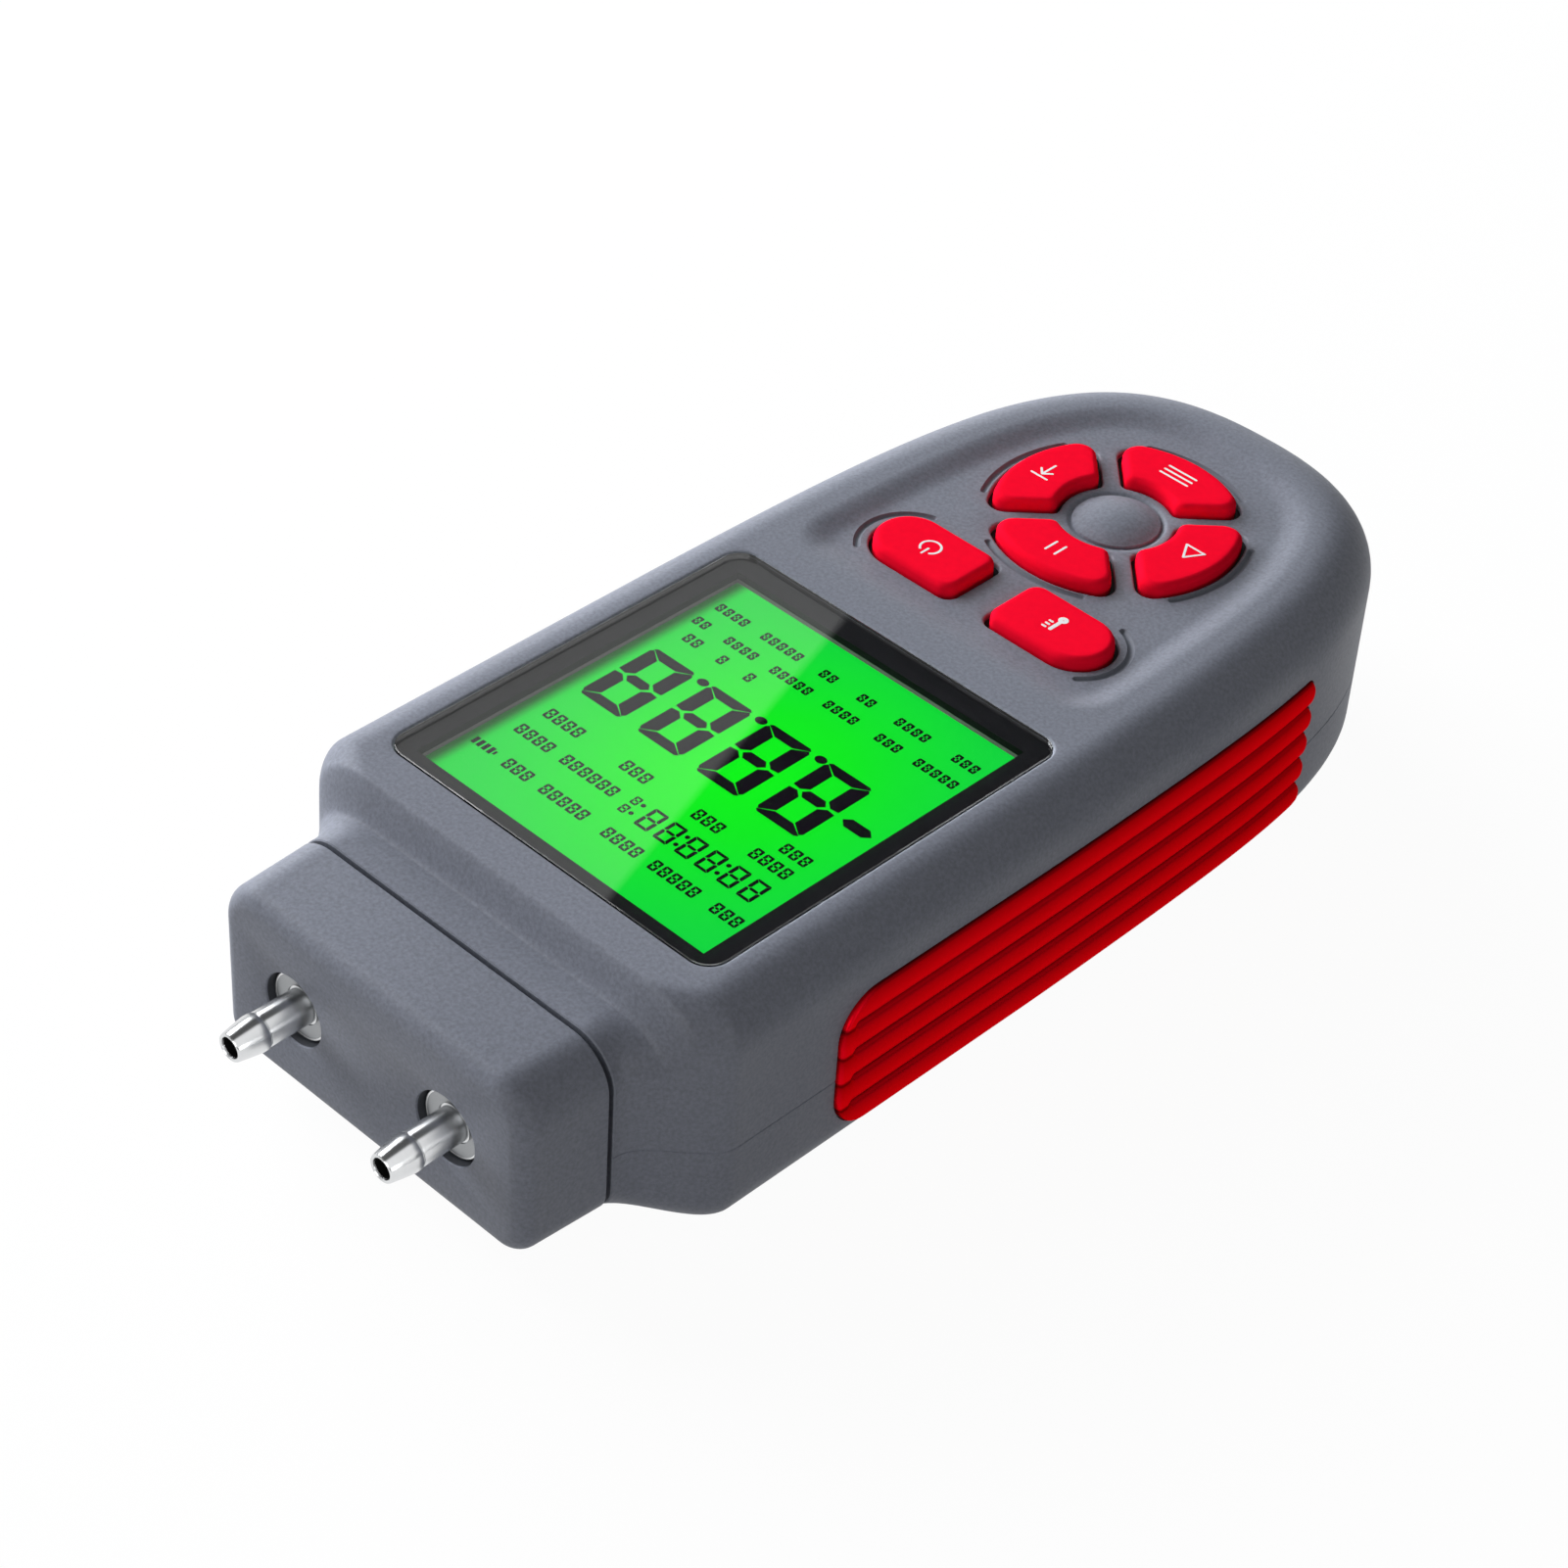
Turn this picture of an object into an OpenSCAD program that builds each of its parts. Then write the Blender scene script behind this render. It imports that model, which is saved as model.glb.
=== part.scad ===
// Hand-held digital manometer: two moulded shells, an end cap with two hose
// barbs, a backlit display, six keys, side grips and a sliding battery door.
// Millimetres. +Z is out of the display, +Y is towards the ports, and the
// origin is below the middle of the instrument, on the face that it rests on.

/* [Body] */
// Width over the shells beside the display
body_w = 69.2; // [66:0.1:76]
// From the centre of the key ring to the end of the tail
tail_room = 33.5; // [32:0.1:40]
// Height of the parting line between the shells
part_h = 12.7; // [11.5:0.1:14]
// Thickness of the shell walls
wall = 2.2; // [1.8:0.1:2.4]
// Radius of the soft edge round the top
edge_r = 6.4; // [5.5:0.1:7]
// How much larger that radius gets at the tail
tail_soft = 1.4; // [0:0.1:4]
// Radius of the edge round the back
bottom_r = 5.4; // [4.5:0.1:6]
// Length over which the body narrows to its round tail
tail_len = 86.8; // [84:0.1:90]
// How much narrower the body gets before the tail rounds off, each side
tail_taper = 2.2; // [1:0.1:3]

/* [Neck and cap] */
// Width of the neck and the cap
neck_w = 53; // [51:0.1:55]
// How far the neck lies below the plateau
neck_drop = 4.4; // [3:0.1:5]
// How far the underside of the neck rises from the table
neck_rise = 3.6; // [2.5:0.1:4]
// Length of the shoulders
shoulder_len = 11.1; // [10:0.1:12]
// Straight stretch of neck beside the seam
shoulder_gap = 0.4; // [0.2:0.1:1]
// From the seam to the slope that climbs to the display
slope_gap = 2.9; // [2.5:0.1:3.2]
// Length of that slope
slope_len = 8.5; // [7.5:0.1:9]
// Length over which the underside of the neck drops to the back
belly_len = 9.5; // [8:0.1:11]
// Length of the cap that carries the ports
cap_len = 13; // [12:0.1:16]
// How much narrower the cap is at its face, each side
cap_taper = 0.8; // [0:0.1:1.2]
// Corner radius along the top of the cap
cap_top_r = 6; // [4:0.1:7]
// Corner radius along the bottom of the cap
cap_bottom_r = 4; // [3:0.1:5]
// Radius round the face of the cap
cap_face_r = 2.4; // [1.5:0.1:3]
// Thickness of the wall behind the face
cap_face_wall = 4.2; // [3.8:0.1:5]
// Width of the seam between cap and shells
seam_gap = 0.2; // [0.1:0.05:0.3]

/* [Display] */
// From the side of the body to the window plate
lens_side = 7.5; // [7.1:0.1:8.1]
// Length of the window plate
lens_len = 59.3; // [58:0.1:60]
// Thickness of the window plate
lens_t = 1.2; // [1:0.1:1.3]
// Corner radius of the window plate
lens_r = 3; // [2:0.1:4]
// From the seam to the window plate
lens_start = 13.1; // [13:0.1:14]
// Black border beside the clear window
window_side = 3.1; // [2.8:0.1:5]
// Black border between window and plate edge on the port side
window_margin = 2.4; // [2:0.1:3]
// Black border between window and plate edge on the key side
window_far = 3.6; // [3.1:0.1:5]
// Thickness of the black border film
mask_t = 0.2; // [0.15:0.05:0.25]
// Thickness of the liquid crystal cell
lcd_t = 1.8; // [1.6:0.1:2]
// Thickness of the light guide
backlight_t = 2.2; // [2:0.1:2.3]

/* [Keypad] */
// Depth of the shallow recess that holds the keys
recess_depth = 0.9; // [0.6:0.1:1.1]
// From the window plate to the near edge of that recess
recess_gap = 5.2; // [4.6:0.1:6.6]
// Flat rim between the outer edge and the recess
rim_in = 9; // [8.5:0.1:9.5]
// Width of the soft slope down into the recess
rim_w = 4; // [3:0.1:4.2]
// From that near edge to the centre of the key ring
ring_room = 36.1; // [35.4:0.1:37.4]
// Outer radius of the ring of four keys
ring_outer_r = 16.4; // [15.8:0.1:16.6]
// Inner radius of the ring of four keys
ring_inner_r = 8; // [7.8:0.1:8.6]
// Gap between two keys of the ring
ring_gap = 3.4; // [3:0.1:4]
// From the ring centre to the row of two keys
pair_gap = 24; // [23.8:0.1:24.4]
// From the middle of the body to the inner end of those keys
pair_inner = 3; // [2.6:0.1:3.6]
// Length of each of those keys
pair_len = 15.8; // [15:0.1:16.2]
// Width of each of those keys
pair_w = 9.8; // [9.4:0.1:10]
// How far the keys stand above the recess
key_rise = 1.5; // [1.3:0.1:2]
// Key travel when pressed
key_travel = 0.8; // [0.5:0.1:1]
// Gap between a key and its opening
key_clear = 0.3; // [0.25:0.05:0.4]
// Radius of the dome in the ring
dome_r = 5.7; // [5:0.1:5.8]
// Height of the dome
dome_h = 1.1; // [0.8:0.1:1.4]

/* [Ports] */
// Distance between the two ports
port_pitch = 26; // [25:0.1:27]
// How far the barb tips stand out of the cap
port_out = 9.3; // [8.5:0.1:11]
// Diameter over the barb
barb_d = 4.8; // [4.6:0.1:5.2]
// Diameter of the shaft behind the barb
shaft_d = 3.9; // [3.8:0.1:4.2]
// Diameter of the barb tip
tip_d = 3.7; // [3.5:0.1:3.9]
// Bore through each port
port_bore_d = 2.7; // [2.4:0.1:2.9]
// Diameter of the round pocket in the cap
pocket_d = 9.6; // [9.2:0.1:10]
// Depth of that pocket
pocket_depth = 2.2; // [2:0.1:2.4]
// Diameter of the port flange
flange_d = 8.6; // [8:0.1:8.8]

/* [Grips] */
// From the seam to the near end of the grips
grip_start = 27.4; // [26:0.1:30]
// Length of the grips
grip_len = 88.5; // [80:0.1:90]
// Height of the lower edge of the grips
grip_low = 3.8; // [3.4:0.1:4.5]
// Height of the upper edge of the grips
grip_high = 24.2; // [22:0.1:25]
// How far the ribs stand out of the side
grip_proud = 0.7; // [0.4:0.1:1]
// Depth of the grooves between the ribs
groove_depth = 0.8; // [0.5:0.1:0.9]
// Number of ribs
rib_count = 5; // [4:1:6]
// Depth of the pocket in the shells
grip_pocket = 1; // [0.8:0.1:1.2]
// Radius of the grips' near corners
grip_r = 6; // [4:0.1:7]

/* [Battery] */
// Length of the battery with its terminals
battery_len = 48.5; // [47:0.1:49]
// Width of the battery
battery_w = 26.5; // [26:0.1:26.8]
// Thickness of the battery
battery_t = 17.2; // [16.5:0.1:17.4]
// Height between the battery and the circuit board
battery_room = 4.6; // [4.2:0.1:8]
// From the side of the battery to the edge of its door
door_side = 1.75; // [1.6:0.05:2]
// Length of the battery door
door_len = 68; // [66:0.1:70]
// Height of the door's turned-up end
door_end_h = 8; // [7:0.1:9]

/* [Fasteners] */
// Diameter of the case screws' shanks
screw_d = 2.6; // [2.4:0.1:2.9]
// Diameter of the case screws' heads
screw_head_d = 4.8; // [4.6:0.1:5]
// Length of the case screws below the head
screw_len = 12; // [10:0.1:13]

/* [Hidden] */

grey = [0.42, 0.43, 0.47];
red = [0.85, 0.02, 0.05];
steel = [0.78, 0.79, 0.80];

// One overrun for every cut, and one small sink for pieces that grow together
overrun = 1;
sink = 0.2;

// Heights from the table up: wall, battery, board, display, wall
bay_clear = 0.3;
board_t = 1.6;
board_gap = 0.1;
lcd_lip = 0.8;
battery_z = wall + bay_clear;
board_z = battery_z + battery_t + battery_room;
board_top_z = board_z + board_t;
lcd_bottom_z = board_top_z + board_gap + backlight_t;
lcd_top_z = lcd_bottom_z + lcd_t;
under_z = lcd_top_z + lcd_lip;
body_h = under_z + wall;

// Places along the body
recess_start = lens_start + lens_len + recess_gap;
ring_start = recess_start + ring_room;
body_len = ring_start + tail_room;
total_len = body_len + cap_len + port_out;
tip_y = total_len / 2;
face_y = tip_y - port_out;
seam_y = face_y - cap_len;
tail_y = -total_len / 2;
body_hw = body_w / 2;
neck_hw = neck_w / 2;
tail_start_y = tail_y + tail_len;
recess_y = seam_y - recess_start;
ring_y = seam_y - ring_start;
pair_y = ring_y + pair_gap;
lens_y = seam_y - lens_start;
lens_w = body_w - 2 * lens_side;
window_w = lens_w - 2 * window_side;
window_len = lens_len - window_margin - window_far;
window_y = lens_y - window_margin;
slope_y = seam_y - slope_gap;
port_x = port_pitch / 2;
neck_top_z = body_h - neck_drop;
port_z = (neck_top_z + neck_rise) / 2;

// Shape of the tail in plan: the body narrows by a power of the way along,
// and its end closes like a superellipse
taper_power = 1.5;
tail_power = 5.5;
tail_round = 2.4;
fan_share = 0.668;
fan_y = tail_start_y - fan_share * tail_len;
fan_angle = asin(pow(fan_share, tail_power / 2));
slope_step = 0.01 * shoulder_len;

// Counts of the shell's stations and rings
shoulder_steps = 8;
side_steps = 3;
taper_steps = 5;
tail_steps = 11;
edge_steps = 6;

function share(t) = max(0, min(1, t));
function ease(t) = (1 - cos(180 * share(t))) / 2;
function unit(v) = v / norm(v);
function flipped(list) = [for (i = [len(list) - 1 : -1 : 0]) list[i]];
function span(from, to, steps) = [for (i = [1 : steps]) from + (to - from) * i / steps];

function tail_half_w(u) =
    (body_hw - tail_taper * pow(u, taper_power)) * pow(max(0, 1 - pow(u, tail_power)), 1 / tail_round);
function shoulder(y) = ease((seam_y - shoulder_gap - y) / shoulder_len);
function half_w(y) =
    neck_hw + (tail_half_w(share((tail_start_y - y) / tail_len)) - neck_hw) * shoulder(y);
function side_slope(y) = (half_w(y + slope_step) - half_w(y - slope_step)) / (2 * slope_step);

// Height of the outer skin: plateau, slope down to the neck, keypad recess
function top_level(y, d) =
    body_h
    - neck_drop * (1 - ease((slope_y - y) / slope_len))
    - recess_depth * ease((d - rim_in) / rim_w) * ease((recess_y - y) / rim_w);
function bottom_level(y) = neck_rise * (1 - sin(90 * share((seam_y - y) / belly_len)));

// Stations: a point of the outline, the spine point that it looks at, and
// how much longer an inset is there than along the outline's normal
station_ys = concat(
    [seam_y, seam_y - shoulder_gap],
    span(seam_y - shoulder_gap, seam_y - shoulder_gap - shoulder_len, shoulder_steps),
    [tail_start_y],
    span(tail_start_y, recess_y, side_steps),
    span(recess_y, recess_y - rim_w, 2),
    span(recess_y - rim_w, fan_y, taper_steps)
);
side_stations = [
    for (y = station_ys) [[half_w(y), y], [0, y], sqrt(1 + pow(side_slope(y), 2))]
];
tail_us = [
    for (i = [1 : tail_steps]) pow(sin(fan_angle + (90 - fan_angle) * i / tail_steps), 2 / tail_power)
];
tail_stations = [
    for (u = tail_us) [[tail_half_w(u), tail_start_y - u * tail_len], [0, fan_y], 1]
];
right_stations = concat(side_stations, [for (i = [0 : tail_steps - 2]) tail_stations[i]]);
end_station = [[0, tail_y], [0, fan_y], 1];
left_stations = [
    for (s = flipped(right_stations)) [[-s[0][0], s[0][1]], s[1], s[2]]
];
stations = concat(right_stations, [end_station], left_stations);
station_count = len(stations);
spine_last = len(side_stations) - 1;

function inset_point(s, d) =
    s[0] + unit(s[1] - s[0]) * min(d * s[2], norm(s[1] - s[0]));
function spine_of(i) = min(i, station_count - 1 - i, spine_last);

function edge_at(y) =
    cap_top_r
    + (edge_r - cap_top_r) * shoulder(y)
    + tail_soft * ease((recess_y - y) / (recess_y - tail_y));
function bottom_edge_at(y) = cap_bottom_r + (bottom_r - cap_bottom_r) * shoulder(y);

// Rings of a skin: how far in they lie and how far below the crest
function skin_rings(inset, radius) = concat(
    [[inset, radius]],
    [
        for (i = [1 : edge_steps])
            [inset + radius * (1 - cos(90 * i / edge_steps)), radius * (1 - sin(90 * i / edge_steps))]
    ],
    [[max(rim_in, inset + radius + sink), 0], [rim_in + rim_w / 2, 0], [rim_in + rim_w, 0]]
);
ring_count = len(skin_rings(0, edge_r)) + 1;
function skin_height(front, y, d, inset, drop) =
    front ? top_level(y, d) - inset - drop : bottom_level(y) + inset + drop;
function skin_points(front, inset) =
    concat(
        [
            for (s = stations)
                let (radius = front ? edge_at(s[0][1]) : bottom_edge_at(s[0][1]))
                let (rings = skin_rings(inset, radius - inset))
                for (k = [-1 : len(rings) - 1])
                    let (d = k < 0 ? inset : rings[k][0])
                    let (p = inset_point(s, d))
                    let (z = k < 0 ? part_h : skin_height(front, p[1], d, inset, rings[k][1]))
                    [p[0], p[1], z]
        ],
        [
            for (s = side_stations)
                [0, s[1][1], skin_height(front, s[1][1], body_w, inset, 0)]
        ]
    );

// Faces of a skin, of the rim at the parting line and of the end at the seam
function quad(a, b, c, d) = [[a, b, c], [a, c, d]];
function turned(faces, turn) = turn ? [for (f = faces) flipped(f)] : faces;
function skin_faces(first, rings) =
    let (spine = first + station_count * rings)
    [
        for (i = [0 : station_count - 2])
            for (k = [0 : rings - 1])
                let (a = first + i * rings + k)
                let (b = a + rings)
                let (s = spine + spine_of(i))
                let (t = spine + spine_of(i + 1))
                let (pair = k < rings - 1 ? quad(a, b, b + 1, a + 1) : quad(a, b, t, s))
                for (f = (k == rings - 1 && s == t) ? [pair[0]] : pair) f
    ];
function end_chain(first, rings) = concat(
    [for (k = [0 : rings - 1]) first + k],
    [first + station_count * rings],
    [for (k = [rings - 1 : -1 : 0]) first + (station_count - 1) * rings + k]
);
function strip(a, b) = [
    for (i = [0 : len(a) - 2]) for (f = quad(a[i], a[i + 1], b[i + 1], b[i])) f
];
module half_shell(front) {
    rings = ring_count;
    inner = station_count * rings + len(side_stations);
    rim_outer = [for (i = [0 : station_count - 1]) i * rings];
    rim_inner = [for (i = rim_outer) i + inner];
    points = concat(skin_points(front, 0), skin_points(front, wall));
    faces = concat(
        skin_faces(0, rings),
        turned(skin_faces(inner, rings), true),
        turned(strip(rim_outer, rim_inner), true),
        strip(end_chain(0, rings), end_chain(inner, rings))
    );
    polyhedron(points = points, faces = turned(faces, !front), convexity = 10);
}

// A solid lofted through rings of points, with flat ends; the rings run
// anticlockwise as seen from the last one
function ring_faces(a, b, count) = [
    for (i = [0 : count - 1])
        for (f = quad(a + i, b + i, b + (i + 1) % count, a + (i + 1) % count)) f
];
module loft(rings) {
    count = len(rings[0]);
    last = len(rings) - 1;
    points = [for (r = rings) for (p = r) p];
    sides = [for (k = [0 : last - 1]) for (f = ring_faces(k * count, (k + 1) * count, count)) f];
    low = [for (i = [0 : count - 1]) i];
    high = [for (i = [count - 1 : -1 : 0]) last * count + i];
    polyhedron(points = points, faces = concat([low], sides, [high]), convexity = 6);
}
module mirrored_x() {
    children();
    mirror([1, 0, 0]) children();
}
module slab(x0, x1, y0, y1, z0, z1) {
    translate([x0, y0, z0]) cube([x1 - x0, y1 - y0, z1 - z0]);
}
module round_slab(w, y0, y1, z0, z1, r) {
    slab(-w / 2, w / 2, y0 + r, y1 - r, z0, z1);
    slab(-w / 2 + r, w / 2 - r, y0, y1, z0, z1);
    for (x = [-1, 1])
        for (y = [y0 + r, y1 - r])
            translate([x * (w / 2 - r), y, z0]) cylinder(r = r, h = z1 - z0, $fn = 48);
}
module post(x, y, z0, z1, r) {
    translate([x, y, z0]) cylinder(r = r, h = z1 - z0, $fn = 48);
}

// Heights of the keypad and of the window plate's seat
floor_z = body_h - recess_depth;
key_floor_under_z = floor_z - wall;
lens_bottom_z = body_h - lens_t - mask_t;
lens_clear = 0.1;

// The frame that holds the display, and the board below it
holder_wall = 1;
lcd_side = 1.4;
lcd_clear = 0.2;
holder_hw = window_w / 2 + lcd_side + lcd_clear + holder_wall;
board_side_gap = 0.1;
board_step = 7.1;
board_hw = holder_hw - board_side_gap;
board_tail_hw = board_hw - board_step;

// The battery door, half the width of the battery bay, and its walls
door_w = battery_w + 2 * door_side;
door_lip = 1.2;
bay_hw = door_w / 2 + door_lip + bay_clear;
bay_wall = 1.5;

// Places of bosses and posts
boss_r = 2.4;
boss_wall = 0.9;
case_near_side = 2.5;
case_near_in = 10;
case_far_side = 4.5;
case_far_back = 7.7;
case_near = [neck_hw - case_near_side, seam_y - case_near_in];
case_far = [bay_hw + bay_wall + case_far_side, ring_y - case_far_back];
case_places = [case_near, case_far];
head_clear = 0.3;
head_well_r = screw_head_d / 2 + head_clear;
head_seat_z = 5.6;
pilot_share = 0.82;
board_near_side = 2.5;
board_near_back = 8.2;
board_far_side = 3.4;
board_far_back = 17.5;
board_near = [board_hw - board_near_side, window_y - window_len - board_near_back];
board_far = [board_tail_hw - board_far_side, ring_y - board_far_back];
board_places = [board_near, board_far];
board_screw_d = 2;
screw_clear = 0.2;
board_screw_len = 5;
board_head_d = 3.8;
board_head_t = 1.4;
board_post_r = 2.2;
cap_screw_x = 9;
cap_screw_in = 3.6;
cap_screw_y = seam_y - cap_screw_in;
cap_screw_d = 2;
cap_screw_len = 5;
cap_head_d = 3.8;
cap_head_t = 1.3;

// The keys' outlines, centred where the key is
key_corner_r = 1.2;
corner_steps = 3;
arc_steps = 6;
function arc(c, r, from, to, steps) = [
    for (i = [0 : steps])
        let (a = from + (to - from) * i / steps)
        [c[0] + r * cos(a), c[1] + r * sin(a)]
];
// A quarter of a ring with parallel gaps, grown by d, facing +X
function ring_key(d) =
    let (ro = ring_outer_r + d)
    let (ri = ring_inner_r - d)
    let (g = ring_gap / 2 - d)
    let (rc = key_corner_r)
    let (ao = 45 - asin((g + rc) / (ro - rc)))
    let (ai = 45 - asin((g + rc) / (ri + rc)))
    let (co = (ro - rc) * [cos(ao), sin(ao)])
    let (ci = (ri + rc) * [cos(ai), sin(ai)])
    let (upper = concat(arc(co, rc, ao, 135, corner_steps), arc(ci, rc, 135, 180 + ai, corner_steps)))
    let (turns = [for (i = [1 : arc_steps - 1]) 1 - 2 * i / arc_steps])
    let (inner = [for (t = turns) ri * [cos(t * ai), sin(t * ai)]])
    let (outer = [for (t = turns) ro * [cos(t * ao), -sin(t * ao)]])
    concat(upper, inner, [for (p = flipped(upper)) [p[0], -p[1]]], outer);
// A key with one round end towards +X, grown by d
function pair_key(d) =
    let (r = pair_w / 2 + d)
    let (rc = key_corner_r)
    let (x0 = pair_inner - d)
    concat(
        arc([pair_inner + pair_len - pair_w / 2, 0], r, -90, 90, 2 * arc_steps),
        arc([x0 + rc, r - rc], rc, 90, 180, corner_steps),
        arc([x0 + rc, rc - r], rc, 180, 270, corner_steps)
    );
function at_height(outline, z) = [for (p = outline) [p[0], p[1], z]];
key_flange = 0.9;
key_flange_t = 1;
key_edge_r = 0.8;
key_top_z = floor_z + key_rise;
key_flange_z = key_floor_under_z - key_clear - key_flange_t;
key_foot = 0.6;
mat_top_z = key_flange_z - key_foot - key_travel - key_clear;

// Battery bay
door_clear = 0.15;
door_start_y = tail_y + door_len;
door_lip_t = 1;
tongue_top_z = wall + door_clear + door_lip_t;
snap_room = 3.6;
battery_start_y = door_start_y - snap_room;
battery_end_y = battery_start_y - battery_len;
bay_top_z = battery_z + 0.8 * battery_t;

// The grips' pocket and body: slices across the body that follow its side
grip_y0 = seam_y - grip_start;
grip_y1 = grip_y0 - grip_len;
grip_clear = 0.15;
grip_trim = 0.05;
grip_border = 1.3;
rib_steps = 6;
grip_steps = 12;
rib_pitch = (grip_high - grip_low) / rib_count;
function bottom_inset(z) =
    z >= bottom_r ? 0 : bottom_r * (1 - sqrt(1 - pow((bottom_r - z) / bottom_r, 2)));
function rib_drop(z) =
    let (t = (z - grip_low) / rib_pitch)
    let (s = 2 * (t - floor(min(t, rib_count - 0.001))) - 1)
    groove_depth * (1 - sqrt(max(0, 1 - s * s)));
function grip_slice(y, depth, proud, ribs) =
    let (x = half_w(y))
    let (count = rib_count * rib_steps)
    concat(
        [[x - depth, y, grip_low], [x - depth, y, grip_high]],
        [
            for (i = [count : -1 : 0])
                let (z = grip_low + (grip_high - grip_low) * i / count)
                [x + proud - bottom_inset(z) - ribs * rib_drop(z), y, z]
        ]
    );
grip_ys = concat(
    [grip_y0, grip_y0 - grip_border, grip_y0 - 1.5 * grip_border],
    span(grip_y0 - 1.5 * grip_border, grip_y1, grip_steps)
);
function rib_amount(y) = y > grip_y0 - 1.2 * grip_border ? 0 : 1;

// Outline of a grip seen from the side: round at the near end only
module grip_outline(d) {
    y0 = grip_y0 + d;
    y1 = grip_y1 - d;
    z0 = grip_low - d;
    z1 = grip_high + d;
    r = grip_r + d;
    far_r = r / 3;
    translate([body_hw - 2 * wall, 0, 0]) rotate([90, 0, 90])
        linear_extrude(height = 4 * wall)
            union() {
                translate([y1, z0 + far_r]) square([y0 - r - y1, z1 - z0 - 2 * far_r]);
                translate([y1 + far_r, z0]) square([y0 - r - y1 - far_r, z1 - z0]);
                translate([y0 - r - sink, z0 + r]) square([r + sink, z1 - z0 - 2 * r]);
                for (z = [z0 + r, z1 - r]) translate([y0 - r, z]) circle(r = r, $fn = 48);
                for (z = [z0 + far_r, z1 - far_r]) translate([y1 + far_r, z]) circle(r = far_r, $fn = 48);
            }
}
module grip() {
    intersection() {
        loft([
            for (y = flipped(grip_ys)) grip_slice(y, grip_pocket - grip_clear, grip_proud, rib_amount(y))
        ]);
        grip_outline(-grip_trim);
    }
}
module grip_pocket_cut() {
    intersection() {
        grip_pocket_side();
        grip_outline(grip_clear);
    }
}
// Everything outside the pocket's curved floor
module grip_pocket_side() {
    steps = grip_steps;
    ys = concat([grip_y0 + overrun], span(grip_y0, grip_y1, steps), [grip_y1 - overrun]);
    floor_points = [for (y = ys) [half_w(y) - grip_pocket, y]];
    linear_extrude(height = body_h)
        polygon(concat(floor_points, [[body_w, grip_y1 - overrun], [body_w, grip_y0 + overrun]]));
}

// Openings and engravings of the front cover
module key_places(d) {
    for (turn = [0 : 90 : 270])
        translate([0, ring_y, 0]) rotate(turn)
            linear_extrude(height = body_h + overrun) polygon(ring_key(d));
    for (turn = [0, 1])
        translate([0, pair_y, 0]) mirror([turn, 0, 0])
            linear_extrude(height = body_h + overrun) polygon(pair_key(d));
}
engraving_w = 0.7;
engraving_depth = 0.4;
ring_engraving_gap = 1.6;
ring_engraving_r = ring_outer_r + ring_engraving_gap;
ring_engraving_angle = 32;
pair_engraving_gap = 2;
pair_engraving_r = pair_w / 2 + pair_engraving_gap;
pair_engraving_from = -72;
pair_engraving_to = 48;
dome_groove_gap = 0.4;
dome_groove_r = dome_r + dome_groove_gap;
module engraved_arc(r, from, to) {
    rotate([0, 0, from]) rotate_extrude(angle = to - from, $fn = 96)
        translate([r - engraving_w / 2, floor_z - engraving_depth])
            square([engraving_w, engraving_depth + overrun]);
}
module engravings() {
    for (turn = [0 : 90 : 270])
        translate([0, ring_y, 0]) rotate([0, 0, turn]) engraved_arc(ring_engraving_r,
            -ring_engraving_angle, ring_engraving_angle);
    for (side = [0, 1])
        mirror([side, 0, 0]) translate([pair_inner + pair_len - pair_w / 2, pair_y, 0])
            engraved_arc(pair_engraving_r, pair_engraving_from, pair_engraving_to);
    translate([0, ring_y, 0]) engraved_arc(dome_groove_r, 0, 360);
}
module dome() {
    r = (dome_r * dome_r + dome_h * dome_h) / (2 * dome_h);
    translate([0, ring_y, floor_z]) intersection() {
        translate([0, 0, dome_h - r]) sphere(r = r, $fn = 96);
        translate([0, 0, -sink]) cylinder(r = dome_r, h = dome_h + 2 * sink, $fn = 96);
    }
}
module front_bosses() {
    for (p = case_places) post(p[0], p[1], part_h, under_z + sink, boss_r);
    for (p = board_places) post(p[0], p[1], board_top_z, under_z + sink, board_post_r);
}
module front_pilots() {
    for (p = case_places)
        post(p[0], p[1], part_h - overrun, head_seat_z + screw_len + 2 * sink, pilot_share * screw_d / 2);
    for (p = board_places)
        post(p[0], p[1], board_top_z - overrun, board_z + board_screw_len + sink,
            pilot_share * board_screw_d / 2);
}
module front_cover() {
    color(grey) difference() {
        union() {
            half_shell(true);
            dome();
            mirrored_x() front_bosses();
        }
        round_slab(lens_w + 2 * lens_clear, lens_y - lens_len - lens_clear, lens_y + lens_clear,
            lens_bottom_z, body_h + overrun, lens_r + lens_clear);
        slab(-window_w / 2, window_w / 2, window_y - window_len, window_y, under_z - overrun, body_h);
        translate([0, 0, key_floor_under_z - overrun]) key_places(key_clear);
        engravings();
        mirrored_x() front_pilots();
        mirrored_x() grip_pocket_cut();
    }
}

// The back cover, its battery bay and its screw wells
module door_slot(d) {
    slab(-door_w / 2 - d, door_w / 2 + d, tail_y - overrun, door_start_y + d, -overrun, wall + d);
    slab(-door_w / 2 - door_lip - d, door_w / 2 + door_lip + d, tail_y - overrun,
        battery_end_y - bay_clear - bay_wall + d, wall - sink - d, door_end_h + d);
}
module back_bosses() {
    for (p = case_places) post(p[0], p[1], wall - sink, part_h, head_well_r + boss_wall);
}
module back_wells() {
    for (p = case_places) {
        post(p[0], p[1], -overrun, head_seat_z, head_well_r);
        post(p[0], p[1], 0, part_h + overrun, screw_d / 2 + head_clear);
    }
    post(cap_screw_x, cap_screw_y, -overrun, neck_rise + cap_head_t, cap_head_d / 2 + head_clear);
    post(cap_screw_x, cap_screw_y, 0, part_h, cap_screw_d / 2 + head_clear);
}
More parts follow.
